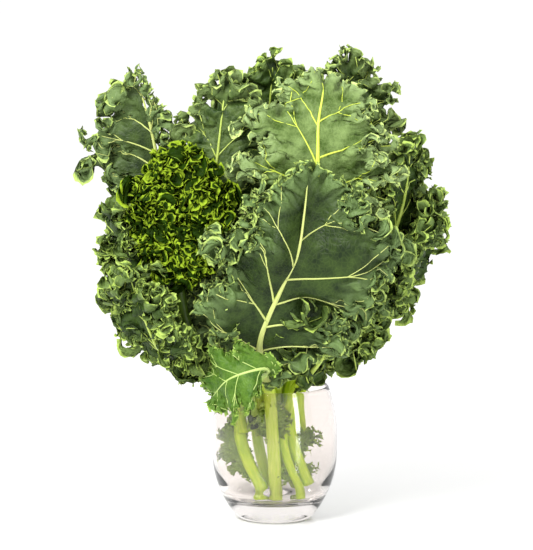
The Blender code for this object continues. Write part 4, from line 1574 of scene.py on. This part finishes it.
def turned(name, outline, around):
    points, faces, rings = [], [], []
    for radius, height in outline:
        if radius == 0:
            rings.append([len(points)])
            points.append((0, 0, height))
            continue
        rings.append(list(range(len(points), len(points) + around)))
        points += [(radius * math.cos(a), radius * math.sin(a), height)
                   for a in np.arange(around) / around * 2 * math.pi]
    for low, high in zip(rings, rings[1:]):
        for i in range(around):
            k = (i + 1) % around
            if len(low) == 1:
                faces.append((low[0], high[k], high[i]))
            elif len(high) == 1:
                faces.append((low[i], low[k], high[0]))
            else:
                faces.append((low[i], low[k], high[k], high[i]))
    mesh = bpy.data.meshes.new(name)
    mesh.from_pydata([tuple(c * MM for c in p) for p in points], [], faces)
    mesh.shade_smooth()
    piece = bpy.data.objects.new(name, mesh)
    bpy.context.scene.collection.objects.link(piece)
    return piece


tumbler = turned("turned_tumbler", tumbler_outline(), GLASS_AROUND)
glass, _, _, shader = new_material("clear_glass")
shader.inputs["Base Color"].default_value = rgb(243, 238, 235)
shader.inputs["Roughness"].default_value = 0.0
shader.inputs["IOR"].default_value = GLASS_IOR
shader.inputs["Transmission Weight"].default_value = 1.0
tumbler.data.materials.append(glass)
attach(tumbler, "root")
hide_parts("glass_tumbler")
print("tumbler faces:", len(tumbler.data.polygons))

# %% [markdown]
# The setting is a studio table. A plain white floor that runs out of sight shows the object's own
# shape and shadow best.

# %% the floor
FLOOR_REACH = 6.0
corners = [(x * FLOOR_REACH, y * FLOOR_REACH, 0) for x, y in ((-1, -1), (1, -1), (1, 1), (-1, 1))]
floor_mesh = bpy.data.meshes.new("floor")
floor_mesh.from_pydata(corners, [], [(0, 1, 2, 3)])
floor = bpy.data.objects.new("floor", floor_mesh)
bpy.context.scene.collection.objects.link(floor)
white, _, _, shader = new_material("white_table")
shader.inputs["Base Color"].default_value = (0.93, 0.93, 0.925, 1)
shader.inputs["Roughness"].default_value = 0.1
shader.inputs["Specular IOR Level"].default_value = 0.5
floor_mesh.materials.append(white)
print("floor side:", 2 * FLOOR_REACH, "m")

# %% [markdown]
# Most of the light is an even white all round, as in a light tent, so that the clear glass stays clear.
# A large softbox at the upper left front models the curls, and a narrow strip at the right draws a
# highlight on the tumbler.

# %% light
DAYLIGHT = 1.06
world = bpy.data.worlds.new("studio")
bpy.context.scene.world = world
world.use_nodes = True
world.node_tree.nodes["Background"].inputs["Color"].default_value = (1, 1, 1, 1)
world.node_tree.nodes["Background"].inputs["Strength"].default_value = DAYLIGHT


def soft_light(name, place, target, size, power):
    light = bpy.data.lights.new(name, "AREA")
    light.shape = "RECTANGLE"
    light.size, light.size_y = size
    light.energy = power
    lamp = bpy.data.objects.new(name, light)
    bpy.context.scene.collection.objects.link(lamp)
    lamp.location = place
    lamp.rotation_euler = (Vector(target) - Vector(place)).to_track_quat("-Z", "Y").to_euler()
    return lamp


MIDDLE, LOW = (0.0, 0.0, 0.2), (0.0, 0.0, 0.08)
key = soft_light("key_softbox", (-0.9, -1.3, 1.5), MIDDLE, size=(0.9, 0.9), power=52)
strip_lamp = soft_light("side_strip", (1.35, -1.4, 0.5), LOW, size=(0.3, 0.9), power=12)
print("lamps:", key.name, key.data.energy, "W and", strip_lamp.name, strip_lamp.data.energy, "W")

# %% [markdown]
# The camera stands well back with a long lens, a little above the bunch, as for a product picture.

# %% camera
CAMERA_PLACE, CAMERA_AIM = Vector((-0.006, -2.8, 0.56)), Vector((-0.006, 0.0, 0.1845))
PICTURE_HEIGHT, SENSOR = 0.4125, 36.0  # m at the object, and mm in the camera
camera_data = bpy.data.cameras.new("camera")
camera_data.sensor_width = SENSOR
camera_data.lens = SENSOR * (CAMERA_AIM - CAMERA_PLACE).length / PICTURE_HEIGHT
camera = bpy.data.objects.new("camera", camera_data)
camera.location = CAMERA_PLACE
camera.rotation_euler = (CAMERA_AIM - CAMERA_PLACE).to_track_quat("-Z", "Y").to_euler()
bpy.context.scene.collection.objects.link(camera)
bpy.context.scene.camera = camera
bpy.context.scene.view_settings.view_transform = "Standard"
print("lens:", round(camera_data.lens), "mm")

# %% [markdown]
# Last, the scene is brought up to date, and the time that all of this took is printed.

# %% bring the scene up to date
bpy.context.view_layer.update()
print("seconds", round(time.time() - START, 1))
